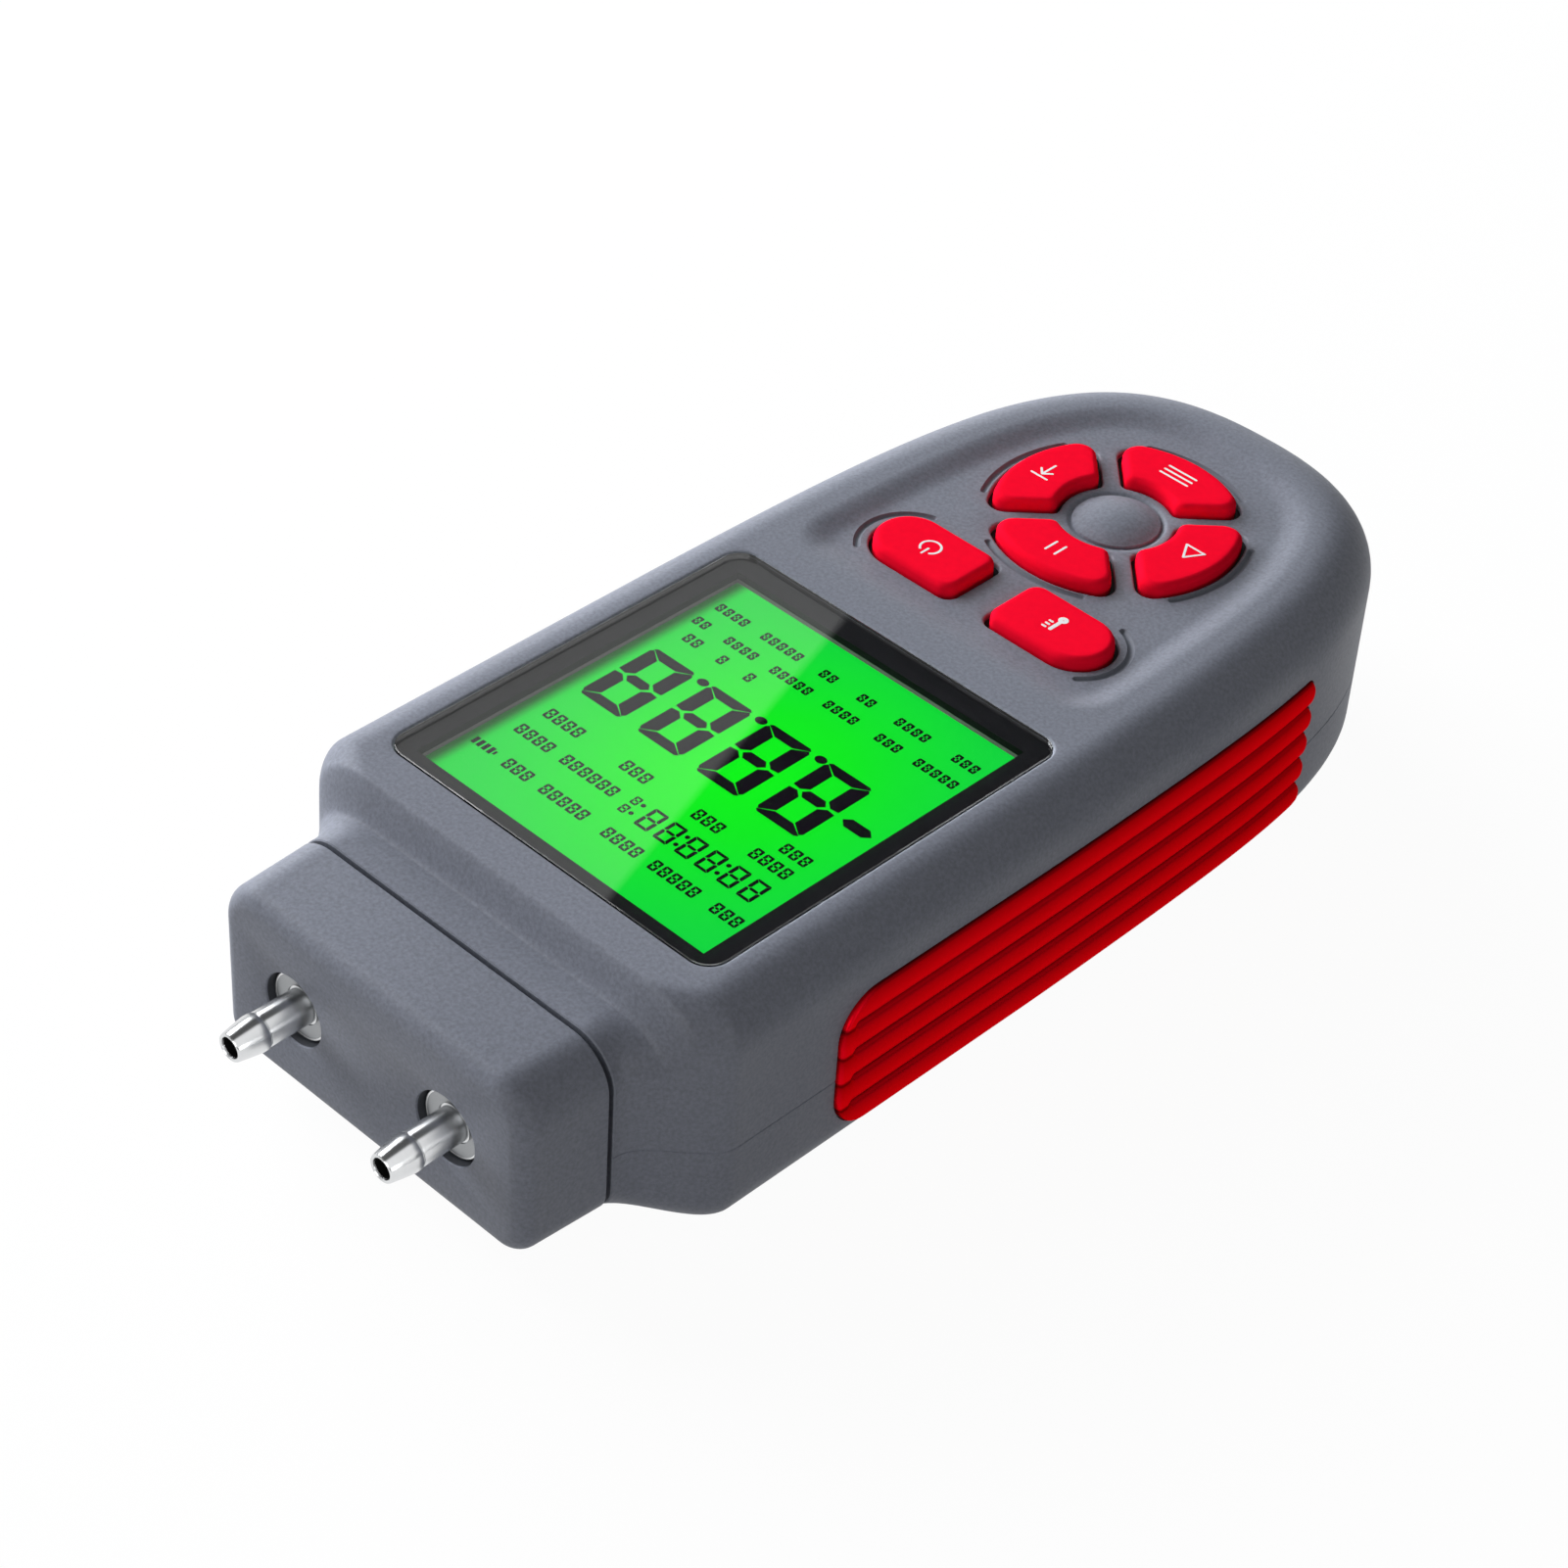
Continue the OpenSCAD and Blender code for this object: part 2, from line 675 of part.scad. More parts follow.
module bay_side() {
    slab(bay_hw, bay_hw + bay_wall, battery_end_y - bay_clear, door_start_y + bay_wall,
        wall - sink, bay_top_z);
    slab(door_w / 2 - door_lip / 2, bay_hw + sink, battery_end_y - bay_clear, door_start_y + bay_wall,
        tongue_top_z + door_clear, tongue_top_z + door_clear + door_lip_t);
}
module back_cover() {
    color(grey) difference() {
        union() {
            half_shell(false);
            mirrored_x() {
                back_bosses();
                bay_side();
                post(cap_screw_x, cap_screw_y, neck_rise, cap_tongue_z, cap_head_d / 2 + boss_wall);
            }
            slab(-bay_hw - bay_wall, bay_hw + bay_wall,
                door_start_y + bay_clear, door_start_y + bay_clear + bay_wall,
                wall - sink, bay_top_z);
            slab(-bay_hw - bay_wall, bay_hw + bay_wall, battery_end_y - bay_clear - bay_wall,
                battery_end_y - bay_clear, door_end_h + door_clear, bay_top_z);
        }
        door_slot(door_clear);
        mirrored_x() back_wells();
        mirrored_x() grip_pocket_cut();
    }
}
module battery_door() {
    groove_w = 0.8;
    color(grey) {
        difference() {
            intersection() {
                half_shell(false);
                union() {
                    slab(-door_w / 2, door_w / 2, tail_y - overrun, door_start_y, -overrun, wall + sink);
                    slab(-door_w / 2 - door_lip, door_w / 2 + door_lip, tail_y - overrun,
                        battery_end_y - bay_clear - bay_wall, wall - sink, door_end_h);
                }
            }
            for (i = [0 : 4])
                slab(-door_w / 4, door_w / 4, tail_y + 2 * door_end_h + 2 * i * groove_w,
                    tail_y + 2 * door_end_h + (2 * i + 1) * groove_w, -overrun, groove_w / 2);
        }
        mirrored_x() {
            slab(battery_w / 2 + 2 * bay_clear, door_w / 2, battery_end_y - bay_clear,
                door_start_y, wall - sink, tongue_top_z);
            slab(door_w / 2 - sink, door_w / 2 + door_lip - door_clear, battery_end_y - bay_clear,
                door_start_y, wall + door_clear, tongue_top_z);
        }
    }
}

// The cap at the port end
tongue_len = 5.4;
tongue_hw = 15;
tongue_room = 5.4;
cap_tongue_z = neck_rise + wall + 1.5 * seam_gap;
tongue_z = port_z - tongue_room;
cap_corner_steps = 5;
function cap_ring(y, d) =
    let (hw = neck_hw - cap_taper * (y - seam_y) / cap_len - d)
    let (rt = max(cap_top_r - d, cap_face_r))
    let (rb = max(cap_bottom_r - d, cap_face_r))
    let (outline = concat(
        arc([hw - rt, neck_top_z - d - rt], rt, 0, 90, cap_corner_steps),
        arc([rt - hw, neck_top_z - d - rt], rt, 90, 180, cap_corner_steps),
        arc([rb - hw, neck_rise + d + rb], rb, 180, 270, cap_corner_steps),
        arc([hw - rb, neck_rise + d + rb], rb, 270, 360, cap_corner_steps)
    ))
    [for (p = outline) [p[0], y, p[1]]];
module cap_body() {
    steps = 4;
    loft(flipped(concat(
        [cap_ring(seam_y + seam_gap, 0), cap_ring(face_y - cap_face_r, 0)],
        [
            for (i = [1 : steps])
                let (a = 90 * i / steps)
                cap_ring(face_y - cap_face_r * (1 - sin(a)), cap_face_r * (1 - cos(a)))
        ]
    )));
}
module cap_cavity() {
    r = cap_bottom_r - wall / 2;
    y1 = face_y - cap_face_wall;
    hw = neck_hw - wall - cap_taper;
    high = neck_top_z - neck_rise - 2 * wall;
    translate([0, y1, 0]) rotate([90, 0, 0])
        linear_extrude(height = y1 - seam_y + overrun)
            union() {
                translate([-hw, neck_rise + wall + r]) square([2 * hw, high - 2 * r]);
                translate([r - hw, neck_rise + wall]) square([2 * hw - 2 * r, high]);
                for (x = [r - hw, hw - r])
                    for (z = [neck_rise + wall + r, neck_top_z - wall - r])
                        translate([x, z]) circle(r = r, $fn = 48);
            }
}
module port_cap() {
    color(grey) difference() {
        union() {
            difference() {
                cap_body();
                cap_cavity();
            }
            slab(-tongue_hw, tongue_hw, seam_y - tongue_len, face_y - cap_face_wall + sink,
                cap_tongue_z, tongue_z);
            slab(-tongue_hw, tongue_hw, seam_y + seam_gap, face_y - cap_face_wall + sink,
                neck_rise + wall / 2, cap_tongue_z + sink);
        }
        for (x = [-port_x, port_x]) translate([x, 0, port_z]) {
            port_tube(face_y - pocket_depth, face_y + overrun, pocket_d / 2);
            port_tube(face_y - cap_face_wall - overrun, face_y, stem_d / 2 + stem_clear);
        }
        mirrored_x() post(cap_screw_x, cap_screw_y, cap_tongue_z - overrun,
            neck_rise + cap_head_t + cap_screw_len + sink, pilot_share * cap_screw_d / 2);
    }
}
// A cylinder along the port axis
module port_tube(y0, y1, r) {
    translate([0, y1, 0]) rotate([90, 0, 0]) cylinder(r = r, h = y1 - y0, $fn = 64);
}

// The hose ports, their seals and nuts
stem_d = 5;
stem_clear = 0.15;
flange_t = 1.1;
seal_t = 0.8;
nut_t = 2.4;
nut_w = 8;
inner_barb_len = 8;
inner_tube_d = 3.4;
barb_len = 4.7;
barb_land = 1.3;
seat_y = face_y - pocket_depth;
nut_past = 0.6;
stem_end_y = face_y - cap_face_wall - nut_t - nut_past;
inner_end_y = stem_end_y - inner_barb_len;
module port_body() {
    shoulder_y = tip_y - barb_len;
    front_y = seat_y + seal_t / 2 + flange_t;
    rise = flange_t / 2;
    rotate([-90, 0, 0]) rotate_extrude($fn = 96)
        polygon([
            [port_bore_d / 2, tip_y], [tip_d / 2, tip_y],
            [barb_d / 2, shoulder_y + barb_land], [barb_d / 2, shoulder_y],
            [shaft_d / 2, shoulder_y], [shaft_d / 2, front_y],
            [flange_d / 2 - flange_t, front_y], [flange_d / 2, front_y + rise],
            [flange_d / 2, front_y - flange_t / 2], [flange_d / 2 - flange_t, front_y - flange_t],
            [stem_d / 2, front_y - flange_t],
            [stem_d / 2, stem_end_y], [inner_tube_d / 2, stem_end_y],
            [inner_tube_d / 2, inner_end_y], [port_bore_d / 2, inner_end_y]
        ]);
}
module port_at(side) {
    translate([side * port_x, 0, port_z]) children();
}
module left_port() {
    color(steel) port_at(-1) port_body();
}
module right_port() {
    color(steel) port_at(1) port_body();
}
module port_seals() {
    color("black") for (side = [-1, 1]) port_at(side)
        difference() {
            port_tube(seat_y, seat_y + seal_t / 2, flange_d / 2 - flange_t);
            port_tube(seat_y - overrun, seat_y + overrun, stem_d / 2 + stem_clear / 2);
        }
}
module port_nuts() {
    y0 = face_y - cap_face_wall - nut_t;
    color(steel) for (side = [-1, 1]) port_at(side)
        difference() {
            translate([0, y0 + nut_t, 0]) rotate([90, 0, 0])
                cylinder(d = nut_w / cos(30), h = nut_t, $fn = 6);
            port_tube(y0 - overrun, y0 + nut_t + overrun, stem_d / 2 + stem_clear / 2);
        }
}

// Sensor under the board, with a silicone tube from each port
sensor_side = 4;
sensor_w = port_pitch + 2 * sensor_side;
sensor_len = 13;
sensor_start = 30;
sensor_y = seam_y - sensor_start;
nozzle_len = 7;
nozzle_d = 3.4;
tube_wall = 1.1;
tube_r = inner_tube_d / 2 + tube_wall;
sensor_drop = 6;
module pressure_sensor() {
    color([0.12, 0.12, 0.13]) {
        slab(-sensor_w / 2, sensor_w / 2, sensor_y - sensor_len, sensor_y, port_z - sensor_drop, board_z);
        for (x = [-port_x, port_x]) translate([x, 0, port_z])
            difference() {
                port_tube(sensor_y - sink, sensor_y + nozzle_len, nozzle_d / 2);
                port_tube(sensor_y + sink, sensor_y + nozzle_len + overrun, nozzle_d / 4);
            }
    }
}
module tube() {
    translate([port_x, 0, port_z]) difference() {
        port_tube(sensor_y + sink, stem_end_y - sink, tube_r);
        port_tube(sensor_y, stem_end_y, tube_r - tube_wall);
    }
}
module left_tube() {
    color([0.85, 0.87, 0.88]) mirror([1, 0, 0]) tube();
}
module right_tube() {
    color([0.85, 0.87, 0.88]) tube();
}

// Display stack
module display_lens() {
    color([0.8, 0.85, 0.85, 0.35])
        round_slab(lens_w, lens_y - lens_len, lens_y, lens_bottom_z + mask_t, body_h, lens_r);
}
module lens_mask() {
    color("black") difference() {
        round_slab(lens_w, lens_y - lens_len, lens_y, lens_bottom_z, lens_bottom_z + mask_t, lens_r);
        slab(-window_w / 2, window_w / 2, window_y - window_len, window_y,
            lens_bottom_z - overrun, lens_bottom_z + overrun);
    }
}
holder_y0 = window_y + lcd_side + lcd_clear + holder_wall;
lcd_ledge = 3.4;
holder_y1 = window_y - window_len - lcd_ledge - lcd_clear - holder_wall;
module lcd_holder() {
    color([0.45, 0.46, 0.48]) difference() {
        slab(-holder_hw, holder_hw, holder_y1, holder_y0, board_top_z, under_z);
        slab(-window_w / 2 - lcd_clear, window_w / 2 + lcd_clear, window_y - window_len - lcd_clear,
            window_y + lcd_clear, board_top_z - overrun, under_z + overrun);
        slab(holder_wall - holder_hw, holder_hw - holder_wall,
            holder_y1 + holder_wall, holder_y0 - holder_wall,
            board_top_z - overrun, lcd_top_z);
    }
}
module lcd_panel() {
    color([0.1, 0.85, 0.2])
        slab(-window_w / 2 - lcd_side, window_w / 2 + lcd_side, window_y - window_len - lcd_ledge,
            window_y + lcd_side, lcd_bottom_z, lcd_top_z);
}
module backlight() {
    color([0.9, 0.95, 0.9])
        slab(-window_w / 2 - lcd_side, window_w / 2 + lcd_side, window_y - window_len,
            window_y + lcd_side, board_top_z + board_gap, lcd_bottom_z);
}
module zebra_strip() {
    color([0.85, 0.45, 0.55])
        slab(-window_w / 2, window_w / 2, window_y - window_len - lcd_ledge + lcd_clear,
            window_y - window_len - lcd_clear * 4, board_top_z, lcd_bottom_z);
}

// Circuit board and what is on it
board_neck_gap = 2;
board_past = 20.5;
board_start_y = holder_y0;
board_neck_y = ring_y + board_neck_gap;
board_end_y = ring_y - board_past;
module main_board() {
    color([0.05, 0.35, 0.15]) difference() {
        union() {
            slab(-board_hw, board_hw, board_neck_y, board_start_y, board_z, board_top_z);
            slab(-board_tail_hw, board_tail_hw, board_end_y, board_neck_y + sink, board_z, board_top_z);
        }
        mirrored_x() for (p = board_places)
            post(p[0], p[1], board_z - overrun, board_top_z + overrun, board_screw_d / 2 + screw_clear);
    }
}
chip_t = 1.5;
buzzer_r = 6;
buzzer_t = 6.5;
buzzer_side = 9.5;
buzzer_x = buzzer_side - board_hw;
buzzer_gap = 3;
sensor_end_y = sensor_y - sensor_len;
buzzer_y = sensor_end_y - buzzer_gap - buzzer_r;
chip_shares = [[0.56, 0.31, 0.26], [-0.45, 0.31, 0.15], [0, 0.4, 0.11], [0.64, 0.57, 0.11]];
board_run = sensor_end_y - board_neck_y;
module board_chips() {
    color([0.1, 0.1, 0.1]) {
        for (c = chip_shares) {
            x = c[0] * board_hw;
            y = sensor_end_y - c[1] * board_run;
            half = c[2] * board_hw;
            slab(x - half, x + half, y - half, y + half, board_z - chip_t, board_z);
        }
        for (i = [0 : 5])
            slab(3 * i * chip_t - 4 * chip_t, 3 * i * chip_t - 3 * chip_t, buzzer_y - chip_t, buzzer_y,
                board_z - chip_t / 2, board_z);
    }
}
module buzzer() {
    color([0.08, 0.08, 0.09]) difference() {
        post(buzzer_x, buzzer_y, board_z - buzzer_t, board_z, buzzer_r);
        post(buzzer_x, buzzer_y, board_z - buzzer_t - overrun, board_z - buzzer_t / 2, buzzer_r / 6);
    }
}

// Key mat and keys
mat_margin = 1.6;
module key_mat() {
    color([0.2, 0.2, 0.22]) difference() {
        union() {
            post(0, ring_y, board_top_z, mat_top_z, ring_outer_r + mat_margin);
            slab(-pair_inner - pair_len - mat_margin, pair_inner + pair_len + mat_margin,
                pair_y - pair_w / 2 - mat_margin, pair_y + pair_w / 2 + mat_margin, board_top_z, mat_top_z);
        }
        post(0, ring_y, board_top_z - overrun, mat_top_z + overrun, ring_inner_r - 2 * mat_margin);
    }
}
function key_outline(kind, d) = kind == 0 ? ring_key(d) : pair_key(d);
module key(kind) {
    steps = 3;
    loft(concat(
        [at_height(key_outline(kind, 0), key_flange_z + sink)],
        [
            for (i = [0 : steps])
                let (a = 90 * i / steps)
                at_height(
                    key_outline(kind, -key_edge_r * (1 - cos(a))),
                    key_top_z - key_edge_r * (1 - sin(a))
                )
        ]
    ));
    translate([0, 0, key_flange_z]) linear_extrude(height = key_flange_t) key_shape(kind, key_flange);
    translate([0, 0, key_flange_z - key_foot]) linear_extrude(height = key_foot + sink)
        key_shape(kind, -key_corner_r);
}
module key_shape(kind, d) {
    polygon(key_outline(kind, d));
}
module ring_key_at(turn) {
    color(red) translate([0, ring_y, 0]) rotate([0, 0, turn]) key(0);
}
module max_key() {
    ring_key_at(0);
}
module hold_key() {
    ring_key_at(90);
}
module dif_key() {
    ring_key_at(180);
}
module units_key() {
    ring_key_at(270);
}
module power_key() {
    color(red) translate([0, pair_y, 0]) key(1);
}
module temperature_key() {
    color(red) mirror([1, 0, 0]) translate([0, pair_y, 0]) key(1);
}

module right_grip() {
    color(red) grip();
}
module left_grip() {
    color(red) mirror([1, 0, 0]) grip();
}

// Battery, its snap connector and leads
terminal_h = 2.4;
terminal_r = 3.6;
terminal_x = 6.35;
snap_t = 3.4;
battery_face_y = battery_start_y - terminal_h;
module battery() {
    color([0.75, 0.6, 0.2])
        slab(-battery_w / 2, battery_w / 2, battery_end_y, battery_face_y,
            battery_z, battery_z + battery_t);
    color(steel) for (x = [-terminal_x, terminal_x]) translate([x, 0, battery_z + battery_t / 2])
        port_tube(battery_face_y - sink, battery_start_y - terminal_h / 4, terminal_r);
}
lead_r = 0.7;
lead_z = battery_z + battery_t / 2;
snap_y = battery_start_y + snap_t - terminal_h / 2;
snap_top_z = lead_z + terminal_r + tube_wall;
module battery_snap() {
    color("black") difference() {
        slab(-battery_w / 2 + terminal_r / 2, battery_w / 2 - terminal_r / 2,
            battery_start_y - terminal_h + bay_clear / 2, snap_y,
            lead_z - terminal_r - tube_wall, snap_top_z);
        for (x = [-terminal_x, terminal_x]) translate([x, 0, lead_z])
            port_tube(battery_start_y - terminal_h - overrun, battery_start_y, terminal_r + stem_clear);
    }
}
module battery_leads() {
    for (x = [-terminal_x, terminal_x])
        color(x < 0 ? "red" : "black") post(x, snap_y - snap_t / 4, snap_top_z, board_z, lead_r);
}

// Screws: a flat head below, pointing up
module screw(p, seat_z, shank_d, shank_len, head_d, head_t) {
    difference() {
        union() {
            post(p[0], p[1], seat_z - head_t, seat_z, head_d / 2);
            post(p[0], p[1], seat_z - sink, seat_z + shank_len, pilot_share * shank_d / 2);
        }
        slab(p[0] - head_d / 3, p[0] + head_d / 3, p[1] - head_t / 6, p[1] + head_t / 6,
            seat_z - head_t - overrun, seat_z - head_t / 2);
        slab(p[0] - head_t / 6, p[0] + head_t / 6, p[1] - head_d / 3, p[1] + head_d / 3,
            seat_z - head_t - overrun, seat_z - head_t / 2);
    }
}
case_head_t = 1.8;
module case_screws() {
    color(steel) mirrored_x() for (p = case_places)
        screw(p, head_seat_z, screw_d, screw_len, screw_head_d, case_head_t);
}
module board_screws() {
    color(steel) mirrored_x() for (p = board_places)
        screw(p, board_z, board_screw_d, board_screw_len, board_head_d, board_head_t);
}
module cap_screws() {
    color(steel) mirrored_x()
        screw([cap_screw_x, cap_screw_y], neck_rise + cap_head_t, cap_screw_d, cap_screw_len,
            cap_head_d, cap_head_t);
}

front_cover();
back_cover();
port_cap();
display_lens();
lens_mask();
lcd_holder();
lcd_panel();
backlight();
zebra_strip();
main_board();
board_chips();
key_mat();
power_key();
temperature_key();
hold_key();
max_key();
units_key();
dif_key();
left_grip();
right_grip();
left_port();
right_port();
port_seals();
port_nuts();
left_tube();
right_tube();
pressure_sensor();
buzzer();
battery();
battery_snap();
battery_leads();
battery_door();
case_screws();
board_screws();
cap_screws();
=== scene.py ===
"""Looks of the hand-held digital manometer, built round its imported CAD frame.

Lengths are in millimetres and are turned into metres where a mesh is made.
+Z is out of the display and +Y is towards the hose barbs.
"""

import math

import bmesh
import bpy
import numpy as np
from mathutils import Matrix


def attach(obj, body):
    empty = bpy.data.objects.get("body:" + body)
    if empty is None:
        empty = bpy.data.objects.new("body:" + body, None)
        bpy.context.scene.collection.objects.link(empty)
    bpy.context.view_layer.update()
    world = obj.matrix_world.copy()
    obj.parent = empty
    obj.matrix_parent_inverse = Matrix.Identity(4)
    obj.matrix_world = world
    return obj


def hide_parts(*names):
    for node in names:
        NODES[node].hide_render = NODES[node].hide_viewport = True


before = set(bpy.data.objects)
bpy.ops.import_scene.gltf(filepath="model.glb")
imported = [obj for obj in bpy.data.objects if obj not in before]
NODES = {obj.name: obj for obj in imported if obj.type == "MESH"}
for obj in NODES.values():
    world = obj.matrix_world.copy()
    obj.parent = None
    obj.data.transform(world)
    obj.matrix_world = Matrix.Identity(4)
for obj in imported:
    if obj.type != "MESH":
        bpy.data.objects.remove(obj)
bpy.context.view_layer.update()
MM = 0.001

# Sizes shared with the part's source
BODY_HW, BODY_H, PART_H, WALL = 34.6, 33.0, 12.7, 2.2
EDGE_R, TAIL_SOFT, BOTTOM_R = 6.4, 1.4, 5.4
TAIL_LEN, TAIL_TAPER, TAIL_POWER, TAIL_ROUND, FAN = 86.8, 2.2, 5.5, 2.4, 0.668
NECK_HW, NECK_DROP, NECK_RISE = 26.5, 4.4, 3.6
SHOULDER_LEN, SHOULDER_GAP, BELLY_LEN = 11.1, 0.4, 9.5
CAP_TAPER, CAP_TOP_R, CAP_BOTTOM_R, CAP_FACE_R, CAP_WALL = 0.8, 6.0, 4.0, 2.4, 4.2
TIP_Y, FACE_Y, SEAM_Y, TAIL_Y = 84.75, 75.45, 62.45, -84.75
TAIL_START, RECESS_Y, RING_Y, PAIR_Y = 2.05, -15.15, -51.25, -27.25
LENS_Y, LENS_LEN, LENS_W, LENS_R = 49.35, 59.3, 54.2, 3.0
WINDOW_Y, WINDOW_LEN, WINDOW_W = 46.95, 53.3, 48.0
RECESS, RIM_IN, RIM_W = 0.9, 8.4, 4.8
FLOOR_Z = BODY_H - RECESS
KEY_TOP, KEY_FLANGE_Z = 33.6, 28.6
FAN_Y = TAIL_START - FAN * TAIL_LEN
PORT_X, PORT_Z = 13.0, 16.1
GRIP_Y0, GRIP_Y1, GRIP_LOW, GRIP_HIGH = 35.05, -53.45, 3.8, 24.2
RIB_PITCH = (GRIP_HIGH - GRIP_LOW) / 5
DOOR_HW, DOOR_START, DOOR_LIP, DOOR_END_H, DOOR_GAP = 15.0, -16.75, 1.2, 8.0, 0.15
BAY_Y, BAY_TOP = -68.85, 16.26
LCD_TOP = 30.0

# Forms that only this scene has
# The riser behind the cap, steeper than in the solids: the photo shows it almost upright
SLOPE_GAP, SLOPE_LEN = 4.9, 2.7
# Rounding of the keypad recess in plan, and the width of its ramp towards the display
RIM_R, FRONT_W = 6.0, 6.0
# The two edges of the dark seam between body and cap
BODY_END, CAP_START = SEAM_Y + 0.10, SEAM_Y + 0.75
# Half the width of the fine line where the shells meet, and the broken edge at the seam
PART_BREAK, MOUTH_BREAK = 0.13, 0.15
# A place inside every ramp, and how far a cutter passes a face so that no skin is left
DEEP_IN, PAST = 60, 0.004


# ---- shape of the body
def clamp(t):
    return np.clip(t, 0.0, 1.0)


def ease(t):
    return (1 - np.cos(math.pi * clamp(t))) / 2


def tail_half_w(u):
    round_off = np.maximum(0, 1 - u**TAIL_POWER) ** (1 / TAIL_ROUND)
    return (BODY_HW - TAIL_TAPER * u**1.5) * round_off


def shoulder(y):
    return ease((SEAM_Y - SHOULDER_GAP - y) / SHOULDER_LEN)


def half_w(y):
    y = np.asarray(y, float)
    return NECK_HW + (tail_half_w(clamp((TAIL_START - y) / TAIL_LEN)) - NECK_HW) * shoulder(y)


def recess_depth(y, d):
    """How far the keypad's floor lies below the deck, with its corners rounded."""
    side, front = d - RIM_IN, (RECESS_Y - y) * RIM_W / FRONT_W
    corner = RIM_R - np.hypot(np.maximum(0, RIM_R - side), np.maximum(0, RIM_R - front))
    return RECESS * ease(np.minimum(corner, np.minimum(side, front)) / RIM_W)


def top_level(y, d):
    riser = NECK_DROP * (1 - ease((SEAM_Y - SLOPE_GAP - y) / SLOPE_LEN))
    return BODY_H - riser - recess_depth(y, d)


def bottom_level(y):
    return NECK_RISE * (1 - np.sin(math.pi / 2 * clamp((SEAM_Y - y) / BELLY_LEN)))


def edge_at(y, front):
    if front:
        soft = TAIL_SOFT * ease((RECESS_Y - y) / (RECESS_Y - TAIL_Y))
        return CAP_TOP_R + (EDGE_R - CAP_TOP_R) * shoulder(y) + soft
    return CAP_BOTTOM_R + (BOTTOM_R - CAP_BOTTOM_R) * shoulder(y)


def quarter_round(steps):
    """Points round a quarter circle of radius 1: the way in from 0, the way down to 0."""
    angles = [math.pi / 2 * k / steps for k in range(steps + 1)]
    return [(1 - math.cos(a), 1 - math.sin(a)) for a in angles]


# ---- mesh helpers
def new_mesh(name, points, faces):
    mesh = bpy.data.meshes.new(name)
    mesh.from_pydata((np.asarray(points, float) * MM).tolist(), [], faces)
    piece = bpy.data.objects.new(name, mesh)
    bpy.context.scene.collection.objects.link(piece)
    bm = bmesh.new()
    bm.from_mesh(mesh)
    bmesh.ops.remove_doubles(bm, verts=bm.verts, dist=1e-7)
    bmesh.ops.recalc_face_normals(bm, faces=bm.faces)
    bm.to_mesh(mesh)
    bm.free()
    return piece


def shade(piece, angle=32):
    """Smooth shading that keeps the edges sharper than the angle."""
    bm = bmesh.new()
    bm.from_mesh(piece.data)
    bmesh.ops.remove_doubles(bm, verts=bm.verts, dist=2e-7)
    bmesh.ops.dissolve_degenerate(bm, edges=bm.edges, dist=1e-7)
    limit = math.radians(angle)
    for face in bm.faces:
        face.smooth = True
    for edge in bm.edges:
        edge.smooth = len(edge.link_faces) == 2 and edge.calc_face_angle(0) < limit
    bm.to_mesh(piece.data)
    bm.free()


def boolean(piece, tool, operation, self_cut=False):
    modifier = piece.modifiers.new("cut", "BOOLEAN")
    modifier.solver = "EXACT"
    modifier.operation = operation
    modifier.use_self = self_cut
    modifier.material_mode = "TRANSFER"
    modifier.object = tool
    graph = bpy.context.evaluated_depsgraph_get()
    graph.update()
    mesh = bpy.data.meshes.new_from_object(piece.evaluated_get(graph))
    piece.modifiers.clear()
    old = piece.data
    piece.data = mesh
    bpy.data.meshes.remove(old)
    bpy.data.objects.remove(tool)
    return piece


def join(name, pieces):
    """One object of several meshes, their materials kept."""
    materials, points, faces, slots = [], [], [], []
    for piece in pieces:
        first = len(points)
        points += [tuple(v.co) for v in piece.data.vertices]
        found = list(piece.data.materials)
        materials += [m for m in found if m not in materials]
        for face in piece.data.polygons:
            faces.append([first + i for i in face.vertices])
            slots.append(materials.index(found[face.material_index]) if found else 0)
        bpy.data.objects.remove(piece)
    joined = new_mesh(name, np.array(points) / MM, faces)
    for m in materials:
        joined.data.materials.append(m)
    if len(joined.data.polygons) == len(slots):
        joined.data.polygons.foreach_set("material_index", slots)
    return joined


def band(a, b, count):
    """Faces between two rings of points, given the number of each ring's first point."""
    return [(a + i, a + (i + 1) % count, b + (i + 1) % count, b + i) for i in range(count)]


def loft(name, rings):
    """A closed solid through rings of points that all have the same count."""
    count, last = len(rings[0]), len(rings) - 1
    points = np.concatenate([np.asarray(r, float) for r in rings])
    faces = [face for k in range(last) for face in band(k * count, (k + 1) * count, count)]
    faces.append(list(range(count))[::-1])
    faces.append([last * count + i for i in range(count)])
    return new_mesh(name, points, faces)


def at_z(outline, z):
    outline = np.asarray(outline, float)
    return np.column_stack([outline, np.full(len(outline), z)])


def rect(x0, x1, y0, y1):
    return [(x0, y0), (x1, y0), (x1, y1), (x0, y1)]


def prism(name, outline, z0, z1):
    return loft(name, [at_z(outline, z0), at_z(outline, z1)])


def box(name, x0, x1, y0, y1, z0, z1):
    return prism(name, rect(x0, x1, y0, y1), z0, z1)


def side_box(side, x0, x1, *rest):
    return box("b", *sorted((side * x0, side * x1)), *rest)


